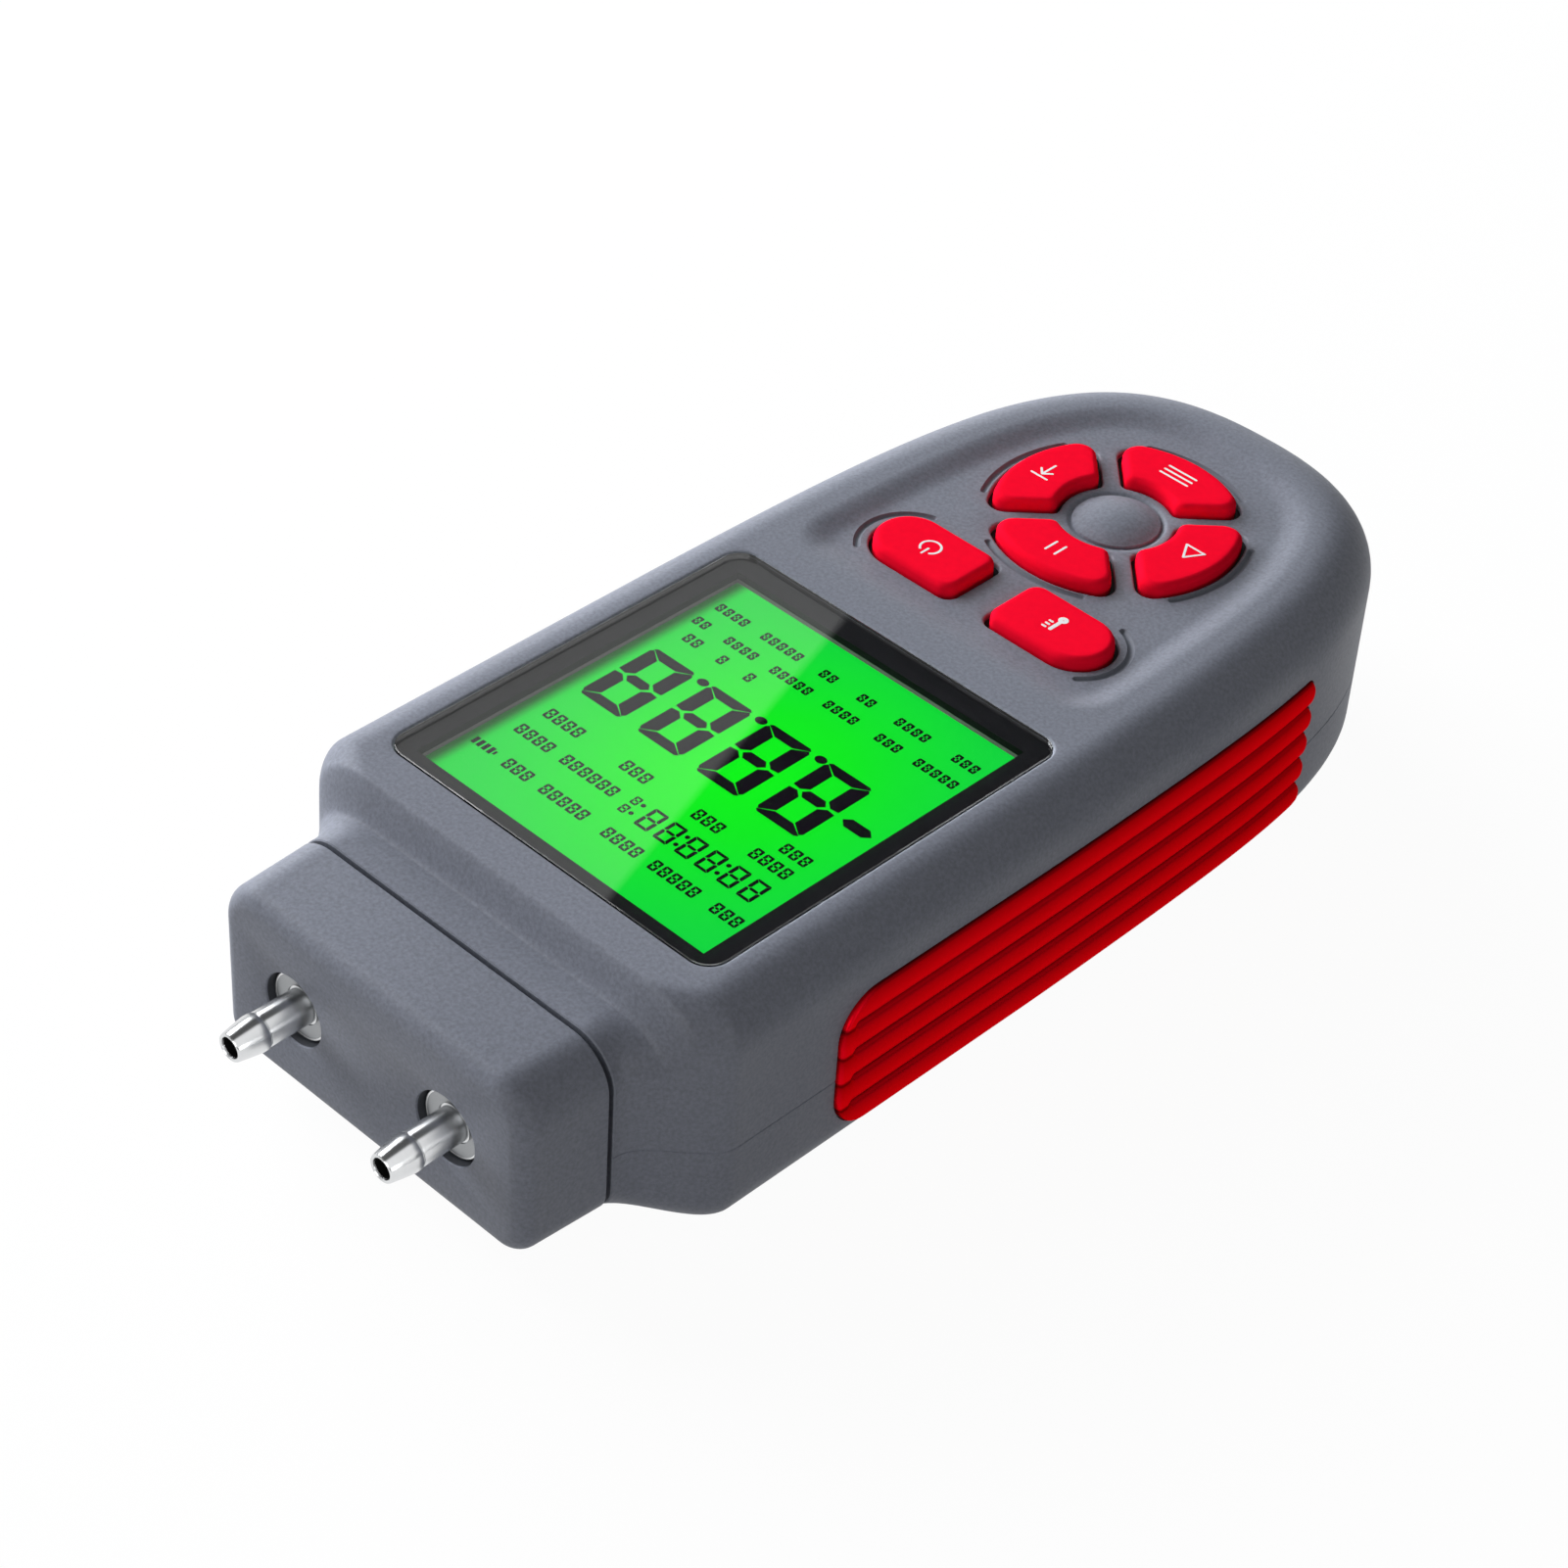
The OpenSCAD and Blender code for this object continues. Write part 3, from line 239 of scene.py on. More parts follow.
def lathe(name, profile, count, axis="z", centre=(0, 0, 0)):
    """A profile of (radius, height) turned about the z or y axis; radius 0 closes it."""
    angles = np.linspace(0, 2 * math.pi, count, endpoint=False)
    points, rows = [], []
    for r, h in profile:
        if r < 1e-6:
            rows.append([len(points)])
            points.append((0, 0, h))
        else:
            rows.append(list(range(len(points), len(points) + count)))
            points += [(r * math.cos(a), r * math.sin(a), h) for a in angles]
    faces = []
    closed = profile[0][0] > 1e-6
    pairs = list(zip(rows, rows[1:])) + ([(rows[-1], rows[0])] if closed else [])
    for a, b in pairs:
        for i in range(count):
            j = (i + 1) % count
            face = [a[i % len(a)], a[j % len(a)], b[j % len(b)], b[i % len(b)]]
            face = list(dict.fromkeys(face))
            if len(face) > 2:
                faces.append(face)
    points = np.array(points)
    if axis == "y":
        points = points[:, [0, 2, 1]]
    return new_mesh(name, points + np.array(centre), faces)


def arc(c, r, a0, a1, steps):
    angles = np.radians(np.linspace(a0, a1, steps + 1))
    return [(c[0] + r * math.cos(a), c[1] + r * math.sin(a)) for a in angles]


def polar(r, angle):
    return r * math.cos(math.radians(angle)), r * math.sin(math.radians(angle))


def disc(x, y, r, count=20):
    return arc((x, y), r, 0, 360, count)[:-1]


def round_rect(w, y0, y1, r, grow=0.0, steps=10):
    hw, lo, hi, r = w / 2 + grow, y0 - grow, y1 + grow, r + grow
    return (
        arc((hw - r, hi - r), r, 0, 90, steps)
        + arc((r - hw, hi - r), r, 90, 180, steps)
        + arc((r - hw, lo + r), r, 180, 270, steps)
        + arc((hw - r, lo + r), r, 270, 360, steps)
    )


def flared(name, outline, z0, z_top, fillet, steps=4):
    """A cutter that rounds the upper edge of its opening. outline(grow) gives its points."""
    rings = [at_z(outline(0), z0)]
    for k, (out, down) in enumerate(quarter_round(steps)):
        lift = PAST if k == steps else 0
        rings.append(at_z(outline(fillet * out), z_top - fillet * down + lift))
    rings.append(at_z(outline(fillet * 1.05), z_top + 2))
    return loft(name, rings)


# ---- materials
def feed(tree, made, values):
    """Gives a node's inputs plain values or other nodes' sockets, by number or name."""
    for key, value in values.items():
        if isinstance(value, bpy.types.NodeSocket):
            tree.links.new(value, made.inputs[key])
        else:
            made.inputs[key].default_value = value


def node(tree, kind, *inputs, **values):
    """A new node with its settings and inputs."""
    made = tree.nodes.new(kind)
    for key in [key for key in values if key not in made.inputs]:
        setattr(made, key, values.pop(key))
    feed(tree, made, dict(enumerate(inputs)))
    feed(tree, made, values)
    return made


def span(tree, source, low, high, to_low, to_high, **settings):
    """Turns a value's range into another one and, unless told otherwise, stops there."""
    ends = {"From Min": low, "From Max": high, "To Min": to_low, "To Max": to_high}
    return node(tree, "ShaderNodeMapRange", Value=source, **settings, **ends).outputs["Result"]


def compute(tree, operation, *inputs):
    return node(tree, "ShaderNodeMath", *inputs, operation=operation).outputs["Value"]


def vector(tree, operation, *inputs, out="Vector"):
    return node(tree, "ShaderNodeVectorMath", *inputs, operation=operation).outputs[out]


def mix(tree, factor, a, b, kind="RGBA", **settings):
    made = node(tree, "ShaderNodeMix", data_type=kind, Factor=factor, A=a, B=b, **settings)
    return made.outputs["Result"]


def times(tree, color, other):
    return mix(tree, 1.0, color, other, blend_type="MULTIPLY")


def mix_shaders(tree, factor, first, second):
    made = node(tree, "ShaderNodeMixShader", factor, first, second)
    feed(tree, tree.nodes["Material Output"], {"Surface": made.outputs["Shader"]})


def ramp(tree, source, stops):
    made = node(tree, "ShaderNodeValToRGB", Fac=source)
    while len(made.color_ramp.elements) < len(stops):
        made.color_ramp.elements.new(0.5)
    for element, (place, color) in zip(made.color_ramp.elements, stops):
        element.position = place
        element.color = (*color, 1)
    return made.outputs["Color"]


def grey_ramp(tree, source, stops):
    return ramp(tree, source, [(at, (value,) * 3) for at, value in stops])


def noise(tree, where, scale, detail=2.0, rough=0.5, stretch=None):
    if stretch:
        where = node(tree, "ShaderNodeMapping", Scale=stretch, Vector=where).outputs["Vector"]
    made = node(
        tree, "ShaderNodeTexNoise", Scale=scale, Detail=detail, Roughness=rough, Vector=where
    )
    return made.outputs["Fac"]


def object_place(tree):
    return tree.nodes.new("ShaderNodeTexCoord").outputs["Object"]


def axis_of(tree, vector, axis):
    return node(tree, "ShaderNodeSeparateXYZ", Vector=vector).outputs[axis]


def new_material(name, color):
    made = bpy.data.materials.new(name)
    made.use_nodes = True
    made.diffuse_color = color if len(color) == 4 else (*color, 1)
    return made, made.node_tree, made.node_tree.nodes["Principled BSDF"]


def make_material(
    name,
    color,
    rough=(0.4, 0.5),
    metallic=0.0,
    specular=0.5,
    tint=(1.0, 1.0, 1.0),
    spread=0.06,
    patch=60,
    speck=0.05,
    grain=2500,
    bump=0.15,
    depth=0.05,
    turned=0.0,
    stretch=None,
):
    """Plastic, rubber or metal: slow patches and fine specks of colour, and a grain."""
    made, tree, shader = new_material(name, color)
    where = object_place(tree)
    slow = noise(tree, where, patch, 3)
    fine = noise(tree, where, grain, 2, 0.6, stretch)
    low, high = (tuple(min(1, c * (1 + s)) for c in color) for s in (-spread, spread))
    base = ramp(tree, slow, [(0.3, low), (0.7, high)])
    if speck:
        base = times(tree, base, grey_ramp(tree, fine, [(0.3, 1 - speck), (0.7, 1.0)]))
    lift = node(tree, "ShaderNodeBump", Strength=bump, Distance=depth * MM, Height=fine)
    values = {
        "Base Color": base,
        "Roughness": span(tree, slow, 0.3, 0.7, *rough),
        "Normal": lift.outputs["Normal"],
        "Metallic": metallic,
        "IOR": 1.5,
        "Specular IOR Level": specular,
        "Specular Tint": (*tint, 1),
    }
    feed(tree, shader, values)
    if turned:
        # Fine turning marks run round the Y axis, so highlights spread along it
        along = node(tree, "ShaderNodeTangent", direction_type="RADIAL", axis="Y")
        values = {
            "Anisotropic": turned,
            "Anisotropic Rotation": 0.25,
            "Tangent": along.outputs["Tangent"],
        }
        feed(tree, shader, values)
    return made


CASE_GREY = (0.205, 0.218, 0.262)
GRAINY = {"specular": 0.35, "spread": 0.03, "speck": 0.26, "grain": 2000, "bump": 0.5}
TURNED = {
    "metallic": 1.0,
    "speck": 0.03,
    "grain": 900,
    "bump": 0.05,
    "depth": 0.02,
    "turned": 0.75,
    "stretch": (0.15, 6, 0.15),
}
MASK_GLOSS = {"specular": 0.02, "grain": 1500, "bump": 0.02}
KEY_GLOSS = {"specular": 0.0, "spread": 0.03, "grain": 900, "bump": 0.05}
GRIP_GLOSS = {
    "metallic": 0.40,
    "specular": 0.0,
    "tint": (1.0, 0.0, 0.01),
    "spread": 0.03,
    "speck": 0.04,
    "grain": 1500,
    "bump": 0.06,
}
DARK = {"specular": 0.2, "speck": 0.1}
SLEEVE = {"metallic": 0.6, "patch": 120, "spread": 0.12}
ZINC = {"metallic": 1.0, "patch": 500, "spread": 0.12}
GROOVED = {"specular": 0.25, "speck": 0.1}
PRINTED = {"specular": 0.0, "speck": 0.0}
# Name, colour, lowest and highest roughness, and what differs from plain plastic
MATERIALS = {
    "case": ("case_plastic", CASE_GREY, (0.48, 0.58), GRAINY),
    "base": ("base_plastic", CASE_GREY, (0.50, 0.60), GRAINY),
    "key": ("key_plastic", (1.0, 0.0045, 0.027), (0.38, 0.46), KEY_GLOSS),
    "grip": ("grip_rubber", (1.0, 0.002, 0.013), (0.30, 0.38), GRIP_GLOSS),
    "mask": ("mask_film", (0.006, 0.006, 0.007), (0.3, 0.4), MASK_GLOSS),
    "holder": ("holder_plastic", (0.13, 0.10, 0.125), (0.5, 0.6), {"speck": 0.1}),
    "guide": ("light_guide", (0.7, 0.8, 0.7), (0.3, 0.4), {}),
    "zebra": ("zebra_rubber", (0.6, 0.25, 0.35), (0.5, 0.6), {}),
    "board": ("solder_mask", (0.02, 0.16, 0.06), (0.3, 0.4), {"patch": 250, "spread": 0.2}),
    "chip": ("chip_epoxy", (0.02, 0.02, 0.022), (0.5, 0.6), {"bump": 0.2}),
    "mat": ("mat_rubber", (0.008, 0.008, 0.009), (0.6, 0.7), {"specular": 0.2}),
    "steel": ("port_nickel", (0.74, 0.75, 0.76), (0.23, 0.28), TURNED),
    # A darker copy of the nickel for the flange's face: painted shade
    "shaded_dish": ("port_flange_shaded", (0.30, 0.31, 0.32), (0.20, 0.26), TURNED),
    "pocket": ("pocket_shade", (0.05, 0.053, 0.062), (0.5, 0.6), DARK),
    "bore": ("bore_shadow", (0.006, 0.006, 0.006), (0.7, 0.8), {"specular": 0.1}),
    "seal": ("seal_rubber", (0.012, 0.012, 0.012), (0.5, 0.6), {}),
    "nut": ("nut_steel", (0.62, 0.63, 0.64), (0.25, 0.35), {"metallic": 1.0}),
    "tube": ("tube_silicone", (0.75, 0.78, 0.8), (0.3, 0.4), {}),
    "sensor": ("sensor_plastic", (0.02, 0.02, 0.022), (0.4, 0.5), {}),
    "buzzer": ("buzzer_plastic", (0.015, 0.015, 0.017), (0.35, 0.45), {}),
    "cell": ("battery_sleeve", (0.35, 0.27, 0.07), (0.25, 0.35), SLEEVE),
    "snap": ("snap_vinyl", (0.02, 0.02, 0.02), (0.4, 0.5), {}),
    "lead": ("lead_insulation", (0.3, 0.02, 0.02), (0.35, 0.45), {}),
    "screw": ("zinc_steel", (0.5, 0.51, 0.52), (0.25, 0.38), ZINC),
    "ink": ("key_print", (0.85, 0.85, 0.86), (0.5, 0.6), {"speck": 0.0}),
    "groove": ("groove_shade", (0.145, 0.155, 0.185), (0.5, 0.6), GROOVED),
    "segment": ("lcd_segment", (0.005, 0.003, 0.006), (0.35, 0.45), PRINTED),
}
M = {
    key: make_material(name, color, rough, **other)
    for key, (name, color, rough, other) in MATERIALS.items()
}


def paint_grip_shade(made):
    """Paints shade into the grip's colour: darkest in its grooves, and less dark on the upper half
    of each rib.
    """
    tree = made.node_tree
    shader = tree.nodes["Principled BSDF"]
    base = shader.inputs["Base Color"].links[0].from_socket
    height = axis_of(tree, object_place(tree), "Z")
    rib = span(tree, height, GRIP_LOW * MM, (GRIP_LOW + RIB_PITCH) * MM, 0.0, 1.0, clamp=False)
    within = compute(tree, "FRACT", rib)
    # Painted shade: dark at each groove, brightest just above it, darker again up the rib
    stops = [
        (0.0, 0.16), (0.05, 0.3), (0.13, 1.0), (0.35, 0.92),
        (0.7, 0.68), (0.9, 0.5), (0.96, 0.3), (1.0, 0.16),
    ]
    feed(tree, shader, {"Base Color": times(tree, base, grey_ramp(tree, within, stops))})


def lcd_material():
    """The cell glows green, strongest in the middle, with a painted shadow of the frame along its
    +X edge.
    """
    made, tree, shader = new_material("lcd_glow", (0.01, 0.8, 0.04))
    where = object_place(tree)
    # Middle of the glow and its reach along X and Y, in metres
    x, y, reach_x, reach_y = -0.004, 0.019, 0.030, 0.036
    middle = node(
        tree,
        "ShaderNodeMapping",
        Vector=where,
        Location=(-x / reach_x, -y / reach_y, 0),
        Scale=(1 / reach_x, 1 / reach_y, 0),
    )
    away = vector(tree, "LENGTH", middle.outputs["Vector"], out="Value")
    stops = [
        (0.0, (0.002, 0.97, 0.004)),
        (0.35, (0.003, 0.86, 0.012)),
        (0.8, (0.005, 0.72, 0.045)),
        (1.0, (0.005, 0.68, 0.055)),
    ]
    glow = ramp(tree, away, stops)
    # Painted shadow of the frame: the glow darkens towards the +X edge
    across = axis_of(tree, where, "X")
    side = span(tree, across, 0.0216, 0.0239, 1.0, 0.12, interpolation_type="SMOOTHSTEP")
    values = {
        "Emission Color": times(tree, glow, side),
        "Emission Strength": 1.0,
        "Base Color": (0.002, 0.03, 0.004, 1),
        "Specular IOR Level": 0.0,
        "Roughness": span(tree, noise(tree, where, 2000), 0, 1, 0.5, 0.6),
    }
    feed(tree, shader, values)
    return made


def lens_material():
    """Clear acrylic that lets the lamps through to what lies under it."""
    made, tree, shader = new_material("lens_acrylic", (0.8, 0.85, 0.85, 0.3))
    values = {
        "Base Color": (0.98, 0.99, 0.99, 1),
        "Transmission Weight": 1.0,
        "IOR": 1.46,
        "Roughness": span(tree, noise(tree, object_place(tree), 400, 3), 0, 1, 0.0, 0.012),
    }
    feed(tree, shader, values)
    through = tree.nodes.new("ShaderNodeBsdfTransparent").outputs["BSDF"]
    shadow = tree.nodes.new("ShaderNodeLightPath").outputs["Is Shadow Ray"]
    mix_shaders(tree, shadow, shader.outputs["BSDF"], through)
    return made


paint_grip_shade(M["grip"])
M["lcd"] = lcd_material()
M["lens"] = lens_material()


def coat(piece, *keys):
    for key in keys:
        piece.data.materials.append(M[key])
    return piece


def place(piece, material, body="case", replaces=(), angle=32):
    if not piece.data.materials:
        coat(piece, material)
    shade(piece, angle)
    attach(piece, body)
    if replaces:
        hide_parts(*replaces)


# ---- shells
def stations():
    """Outline points, the spine points they look at, and the inset's stretch."""
    mouth, waist = SEAM_Y - SHOULDER_GAP, RECESS_Y - RIM_R * 1.3
    ys = np.concatenate(
        [
            [BODY_END, BODY_END - MOUTH_BREAK],
            np.linspace(mouth, mouth - SHOULDER_LEN, 62),
            np.linspace(mouth - SHOULDER_LEN, TAIL_START, 16)[1:],
            np.linspace(TAIL_START, RECESS_Y, 8)[1:],
            np.linspace(RECESS_Y, waist, 25)[1:],
            np.linspace(waist, FAN_Y, 20)[1:],
        ]
    )
    step = 0.05
    slope = (half_w(ys + step) - half_w(ys - step)) / (2 * step)
    side = [((half_w(y), y), (0, y), math.sqrt(1 + s * s)) for y, s in zip(ys, slope)]
    start = math.asin(FAN ** (TAIL_POWER / 2))
    us = np.sin(np.linspace(start, math.pi / 2, 46)[1:-1]) ** (2 / TAIL_POWER)
    spine = (0, FAN_Y)
    tail = [((float(tail_half_w(u)), TAIL_START - u * TAIL_LEN), spine, 1.0) for u in us]
    right = side + tail
    left = [((-p[0], p[1]), s, f) for p, s, f in reversed(right)]
    return right + [((0.0, TAIL_Y), spine, 1.0)] + left


def skin_rows(front, inset, fine):
    """Rows of points over one skin, from the parting line to the spine."""

    def level(y, d, drop):
        if front:
            return float(top_level(y, d)) - drop
        return float(bottom_level(y)) + drop

    rows = []
    for (px, py), (sx, sy), stretch in stations():
        trim = MOUTH_BREAK if fine and py > BODY_END - 0.05 else 0.0
        radius = float(edge_at(py, front)) - inset - trim
        # Way in from the outline, and either the drop below the skin or a height
        if fine:
            wall = level(py, 0, radius) - PART_H
            rings = [(PART_BREAK, None, PART_H)]
            rings += [(0.0, None, PART_H + math.copysign(PART_BREAK, wall))]
            shares = (0.33, 0.66) if front else (0.4, 0.8)
            rings += [(0.0, None, PART_H + wall * share) for share in shares]
            ins = [min(radius + f, RIM_IN) for f in (0.35, 0.9)]
            ins += [RIM_IN + f for f in np.linspace(0, RIM_R, 19)]
            ins += [RIM_IN + RIM_R + f for f in (2, 5)]
        else:
            rings = [(inset, None, PART_H)]
            ins = [max(RIM_IN, inset + radius + 0.2) + f for f in (0, RIM_W / 2, RIM_W)]
        for way_in, down in quarter_round(14 if fine else 5):
            rings.append((inset + radius * way_in, radius * down, None))
        rings += [(d, 0, None) for d in ins]
        length = math.hypot(sx - px, sy - py)
        ux, uy = (sx - px) / length, (sy - py) / length
        row = []
        for d, drop, z in rings:
            reach = min((d + trim) * stretch, length)
            x, y = px + ux * reach, py + uy * reach
            row.append((x, y, level(y, d + trim, inset + trim + drop) if z is None else z))
        row.append((sx, sy, level(sy, DEEP_IN, inset + trim)))
        rows.append(row)
    return rows


def half_shell(name, front):
    """A closed shell half: fine outer skin, plain inner skin, rim and neck end."""
    points, faces, index = [], [], {}

    def ids(rows):
        found = []
        for row in rows:
            line = []
            for p in row:
                key = tuple(round(c, 5) for c in p)
                if key not in index:
                    index[key] = len(points)
                    points.append(p)
                line.append(index[key])
            found.append(line)
        return found

    def face(*loop):
        loop = list(dict.fromkeys(loop))
        if len(loop) > 2:
            faces.append(loop)

    def shares(chain):
        """How far along the chain each of its points lies, from 0 to 1."""
        steps = [math.dist(points[p], points[q]) for p, q in zip(chain, chain[1:])]
        along = np.concatenate([[0], np.cumsum(steps)])
        return along / along[-1]

    a, b = ids(skin_rows(front, 0.0, True)), ids(skin_rows(front, WALL, False))
    for grid in (a, b):
        for r, s in zip(grid, grid[1:]):
            for k in range(len(r) - 1):
                face(r[k], r[k + 1], s[k + 1], s[k])
    for r, s, t, u in zip(a, a[1:], b, b[1:]):
        face(r[0], s[0], u[0], t[0])
    # The neck's end face, as triangles between the two chains, each walked by its share
    chain_a, chain_b = a[0] + a[-1][::-1][1:], b[0] + b[-1][::-1][1:]
    along_a, along_b = shares(chain_a), shares(chain_b)
    last_a, last_b = len(chain_a) - 1, len(chain_b) - 1
    i = j = 0
    while i < last_a or j < last_b:
        if j == last_b or (i < last_a and along_a[i + 1] <= along_b[j + 1]):
            face(chain_a[i], chain_a[i + 1], chain_b[j])
            i += 1
        else:
            face(chain_a[i], chain_b[j + 1], chain_b[j])
            j += 1
    return new_mesh(name, points, faces)


# ---- keys
# The ring of keys: its radii and half the gap between two of its quarters
RING_OUT, RING_IN, RING_HALF_GAP = 16.4, 8.0, 1.7
# One key of the pair: half its width, its square end and the middle of its round one
PAIR_HALF, PAIR_START, PAIR_END = 4.9, 3.0, 13.9
# Radii of the keys' corners: outer and inner ones of the ring, and the pair's square ends
RING_CORNER, RING_INNER, PAIR_CORNER = 2.3, 1.3, 1.9
# Gap round each key in the cover
KEY_GAP = 0.5
RING_AT, PAIR_AT = (0, RING_Y), (0, PAIR_Y)


def corner_r(radius, d):
    """A corner's radius when its outline has grown by d: it follows only a shrinking one."""
    return max(0.15, radius + min(d, 0) * 0.6)


def ring_key(d, steps=8, arc_steps=22):
    """A quarter of the ring of keys, facing +X, grown by d."""
    ro, ri, g = RING_OUT + d, RING_IN - d, RING_HALF_GAP - d
    rc, rd = corner_r(RING_CORNER, d), corner_r(RING_INNER, d)
    ao = 45 - math.degrees(math.asin((g + rc) / (ro - rc)))
    ai = 45 - math.degrees(math.asin((g + rd) / (ri + rd)))
    upper = arc(polar(ro - rc, ao), rc, ao, 135, steps)
    upper += arc(polar(ri + rd, ai), rd, 135, 180 + ai, steps)
    inner = arc((0, 0), ri, ai, -ai, arc_steps)[1:-1]
    lower = [(x, -y) for x, y in reversed(upper)]
    outer = arc((0, 0), ro, -ao, ao, arc_steps)[1:-1]
    return upper + inner + lower + outer


def pair_key(d, steps=8):
    """The right key of the pair, grown by d."""
    r, rc, x0 = PAIR_HALF + d, corner_r(PAIR_CORNER, d), PAIR_START - d
    return (
        arc((PAIR_END, 0), r, -90, 90, 28)
        + arc((x0 + rc, r - rc), rc, 90, 180, steps)
        + arc((x0 + rc, rc - r), rc, 180, 270, steps)
    )


def turned(points, angle=0, mirror=False, shift=(0, 0)):
    c, s = polar(1, angle)
    found = []
    for x, y in points:
        x = -x if mirror else x
        found.append((x * c - y * s + shift[0], x * s + y * c + shift[1]))
    return found[::-1] if mirror else found


KEYS = {
    "max_key": (ring_key, 0, False, RING_AT),
    "hold_key": (ring_key, 90, False, RING_AT),
    "dif_key": (ring_key, 180, False, RING_AT),
    "units_key": (ring_key, 270, False, RING_AT),
    "power_key": (pair_key, 0, False, PAIR_AT),
    "temperature_key": (pair_key, 0, True, PAIR_AT),
}


def key_outline(name, d):
    shape, angle, mirror, shift = KEYS[name]
    return turned(shape(d), angle, mirror, shift)


def build_keys():
    """Flange in the cover, upright wall and a rounded top, which leaves room for the print."""
    crown = KEY_TOP - 0.03
    levels = [
        (-1.2, KEY_FLANGE_Z - 0.6),
        (-1.2, KEY_FLANGE_Z),
        (0.9, KEY_FLANGE_Z),
        (0.9, KEY_FLANGE_Z + 0.8),
        (0.0, KEY_FLANGE_Z + 1.0),
        (-0.02, FLOOR_Z),
    ]
    levels += [(-0.05 - 0.85 * way_in, crown - 0.9 * down) for way_in, down in quarter_round(8)]
    levels.append((-1.4, crown))
    for name in KEYS:
        rings = [at_z(key_outline(name, d), z) for d, z in levels]
        place(loft(name + "_cap", rings), "key", name, [name], 40)


# ---- front cover
# Gap round the window plate, and the rounding of the cover's openings
LENS_GAP, FILLET = 0.1, 0.3
# Engraved arcs: radius and both ends of those round the ring and round the pair
RING_ARC, PAIR_ARC = (17.8, -26.5, 26.5), (6.9, -72, 48)
GROOVE_DEPTH = 0.34
# The dome in the middle of the ring of keys
DOME_R, DOME_H, DOME_AT = 5.6, 1.05, (0, RING_Y, 0)


def lens_outline(grow=0.0):
    return round_rect(LENS_W, LENS_Y - LENS_LEN, LENS_Y, LENS_R, grow)


def arc_band(r, a0, a1, hw, steps=26):
    """The outline of a band along an arc, with round ends."""
    return (
        arc((0, 0), r + hw, a0, a1, steps)
        + arc(polar(r, a1), hw, a1, a1 + 180, 6)[1:-1]
        + arc((0, 0), r - hw, a1, a0, steps)
        + arc(polar(r, a0), hw, a0 + 180, a0 + 360, 6)[1:-1]
    )


def groove_cutter(outline):
    """A round-bottomed groove in the keypad's floor. outline(half width) gives its points."""
    round_bottom = ((0.06, 1), (0.18, 0.92), (0.30, 0.66), (0.41, 0.3))
    levels = [(hw, -GROOVE_DEPTH * share) for hw, share in round_bottom]
    levels += [(0.50, PAST), (0.52, 1.5)]
    made = loft("t_arc", [at_z(outline(hw), FLOOR_Z + z) for hw, z in levels])
    # The groove's faces take a darker grey than the case: painted shade
    return coat(made, "groove")


def ring_arc(turn):
    return groove_cutter(lambda hw: turned(arc_band(*RING_ARC, hw), turn, False, RING_AT))


def pair_arc(mirror):
    def outline(hw):
        return turned(turned(arc_band(*PAIR_ARC, hw), shift=(PAIR_END, 0)), 0, mirror, PAIR_AT)

    return groove_cutter(outline)


# How the grip rises from its edge: distances from the edge and shares of its height there
EDGES = np.array([0, 0.015, 0.06, 0.15, 0.3, 0.5, 0.8])
RISE = np.array([0, 0.62, 0.74, 0.85, 0.94, 0.985, 1.0])
GRIP_LEN, GRIP_SPAN = GRIP_Y0 - GRIP_Y1, GRIP_HIGH - GRIP_LOW
# Corner radius at the grip's front end, and how far its ribs' ends are rounded
GRIP_R, RIB_END = 6.0, 1.5
# The pocket's gap round the grip and its depth, and a place outside the body
GRIP_GAP, GRIP_POCKET, OUTSIDE = 0.14, 1.0, 40.0


def grip_z_range(y):
    """Lowest and highest point of the grip's outline at a place along the body."""
    inside = np.maximum(0, GRIP_R - (GRIP_Y0 - y))
    cut = GRIP_R - np.sqrt(np.maximum(0, GRIP_R**2 - inside * inside))
    return GRIP_LOW + cut, GRIP_HIGH - cut


def bottom_inset(z):
    """How far the rounded lower edge stands in from the body's side."""
    share = np.maximum(0, BOTTOM_R - z) / BOTTOM_R
    return BOTTOM_R * (1 - np.sqrt(np.maximum(0, 1 - share**2)))


def scallop_at(z):
    """Where a height lies between two grooves, from -1 to 1."""
    s = ((z - GRIP_LOW) / RIB_PITCH) % 1.0 * 2 - 1
    return np.where((z >= GRIP_HIGH - 1e-6) | (z <= GRIP_LOW), 1.0, s)


def grip_grid(grow=0.0):
    """Places down and across the grip, with the rib's share at each of them."""
    along = np.concatenate(
        [
            EDGES,
            np.linspace(1.1, 9, 28),
            np.linspace(9.8, GRIP_LEN - 8, 70),
            np.linspace(GRIP_LEN - 7.5, GRIP_LEN - 1.1, 18),
            GRIP_LEN - EDGES[::-1],
        ]
    )
    rim = EDGES[-1]
    inner = np.linspace(rim, GRIP_SPAN - rim, 129)[1:-1]
    across = np.concatenate([EDGES, inner, GRIP_SPAN - EDGES[::-1]])
    v, w = np.meshgrid(along, across, indexing="ij")
    y = GRIP_Y0 - v
    z0, z1 = grip_z_range(y)
    middle = z0 + rim + (w - rim) / (GRIP_SPAN - 2 * rim) * (z1 - z0 - 2 * rim)
    upper = np.where(w >= GRIP_SPAN - rim, z1 - (GRIP_SPAN - w), middle)
    z = np.where(w <= rim, z0 + w, upper)
    rib = scallop_at(z)
    scoop = 1 - np.sqrt(np.maximum(0, 1 - rib * rib))
    y = y + RIB_END * scoop * ease((v - (GRIP_LEN - 9)) / 8.0)
    y = y + grow * (1 - 2 * v / GRIP_LEN)
    z = z + grow * (2 * w / GRIP_SPAN - 1)
    return v, w, y, z, rib


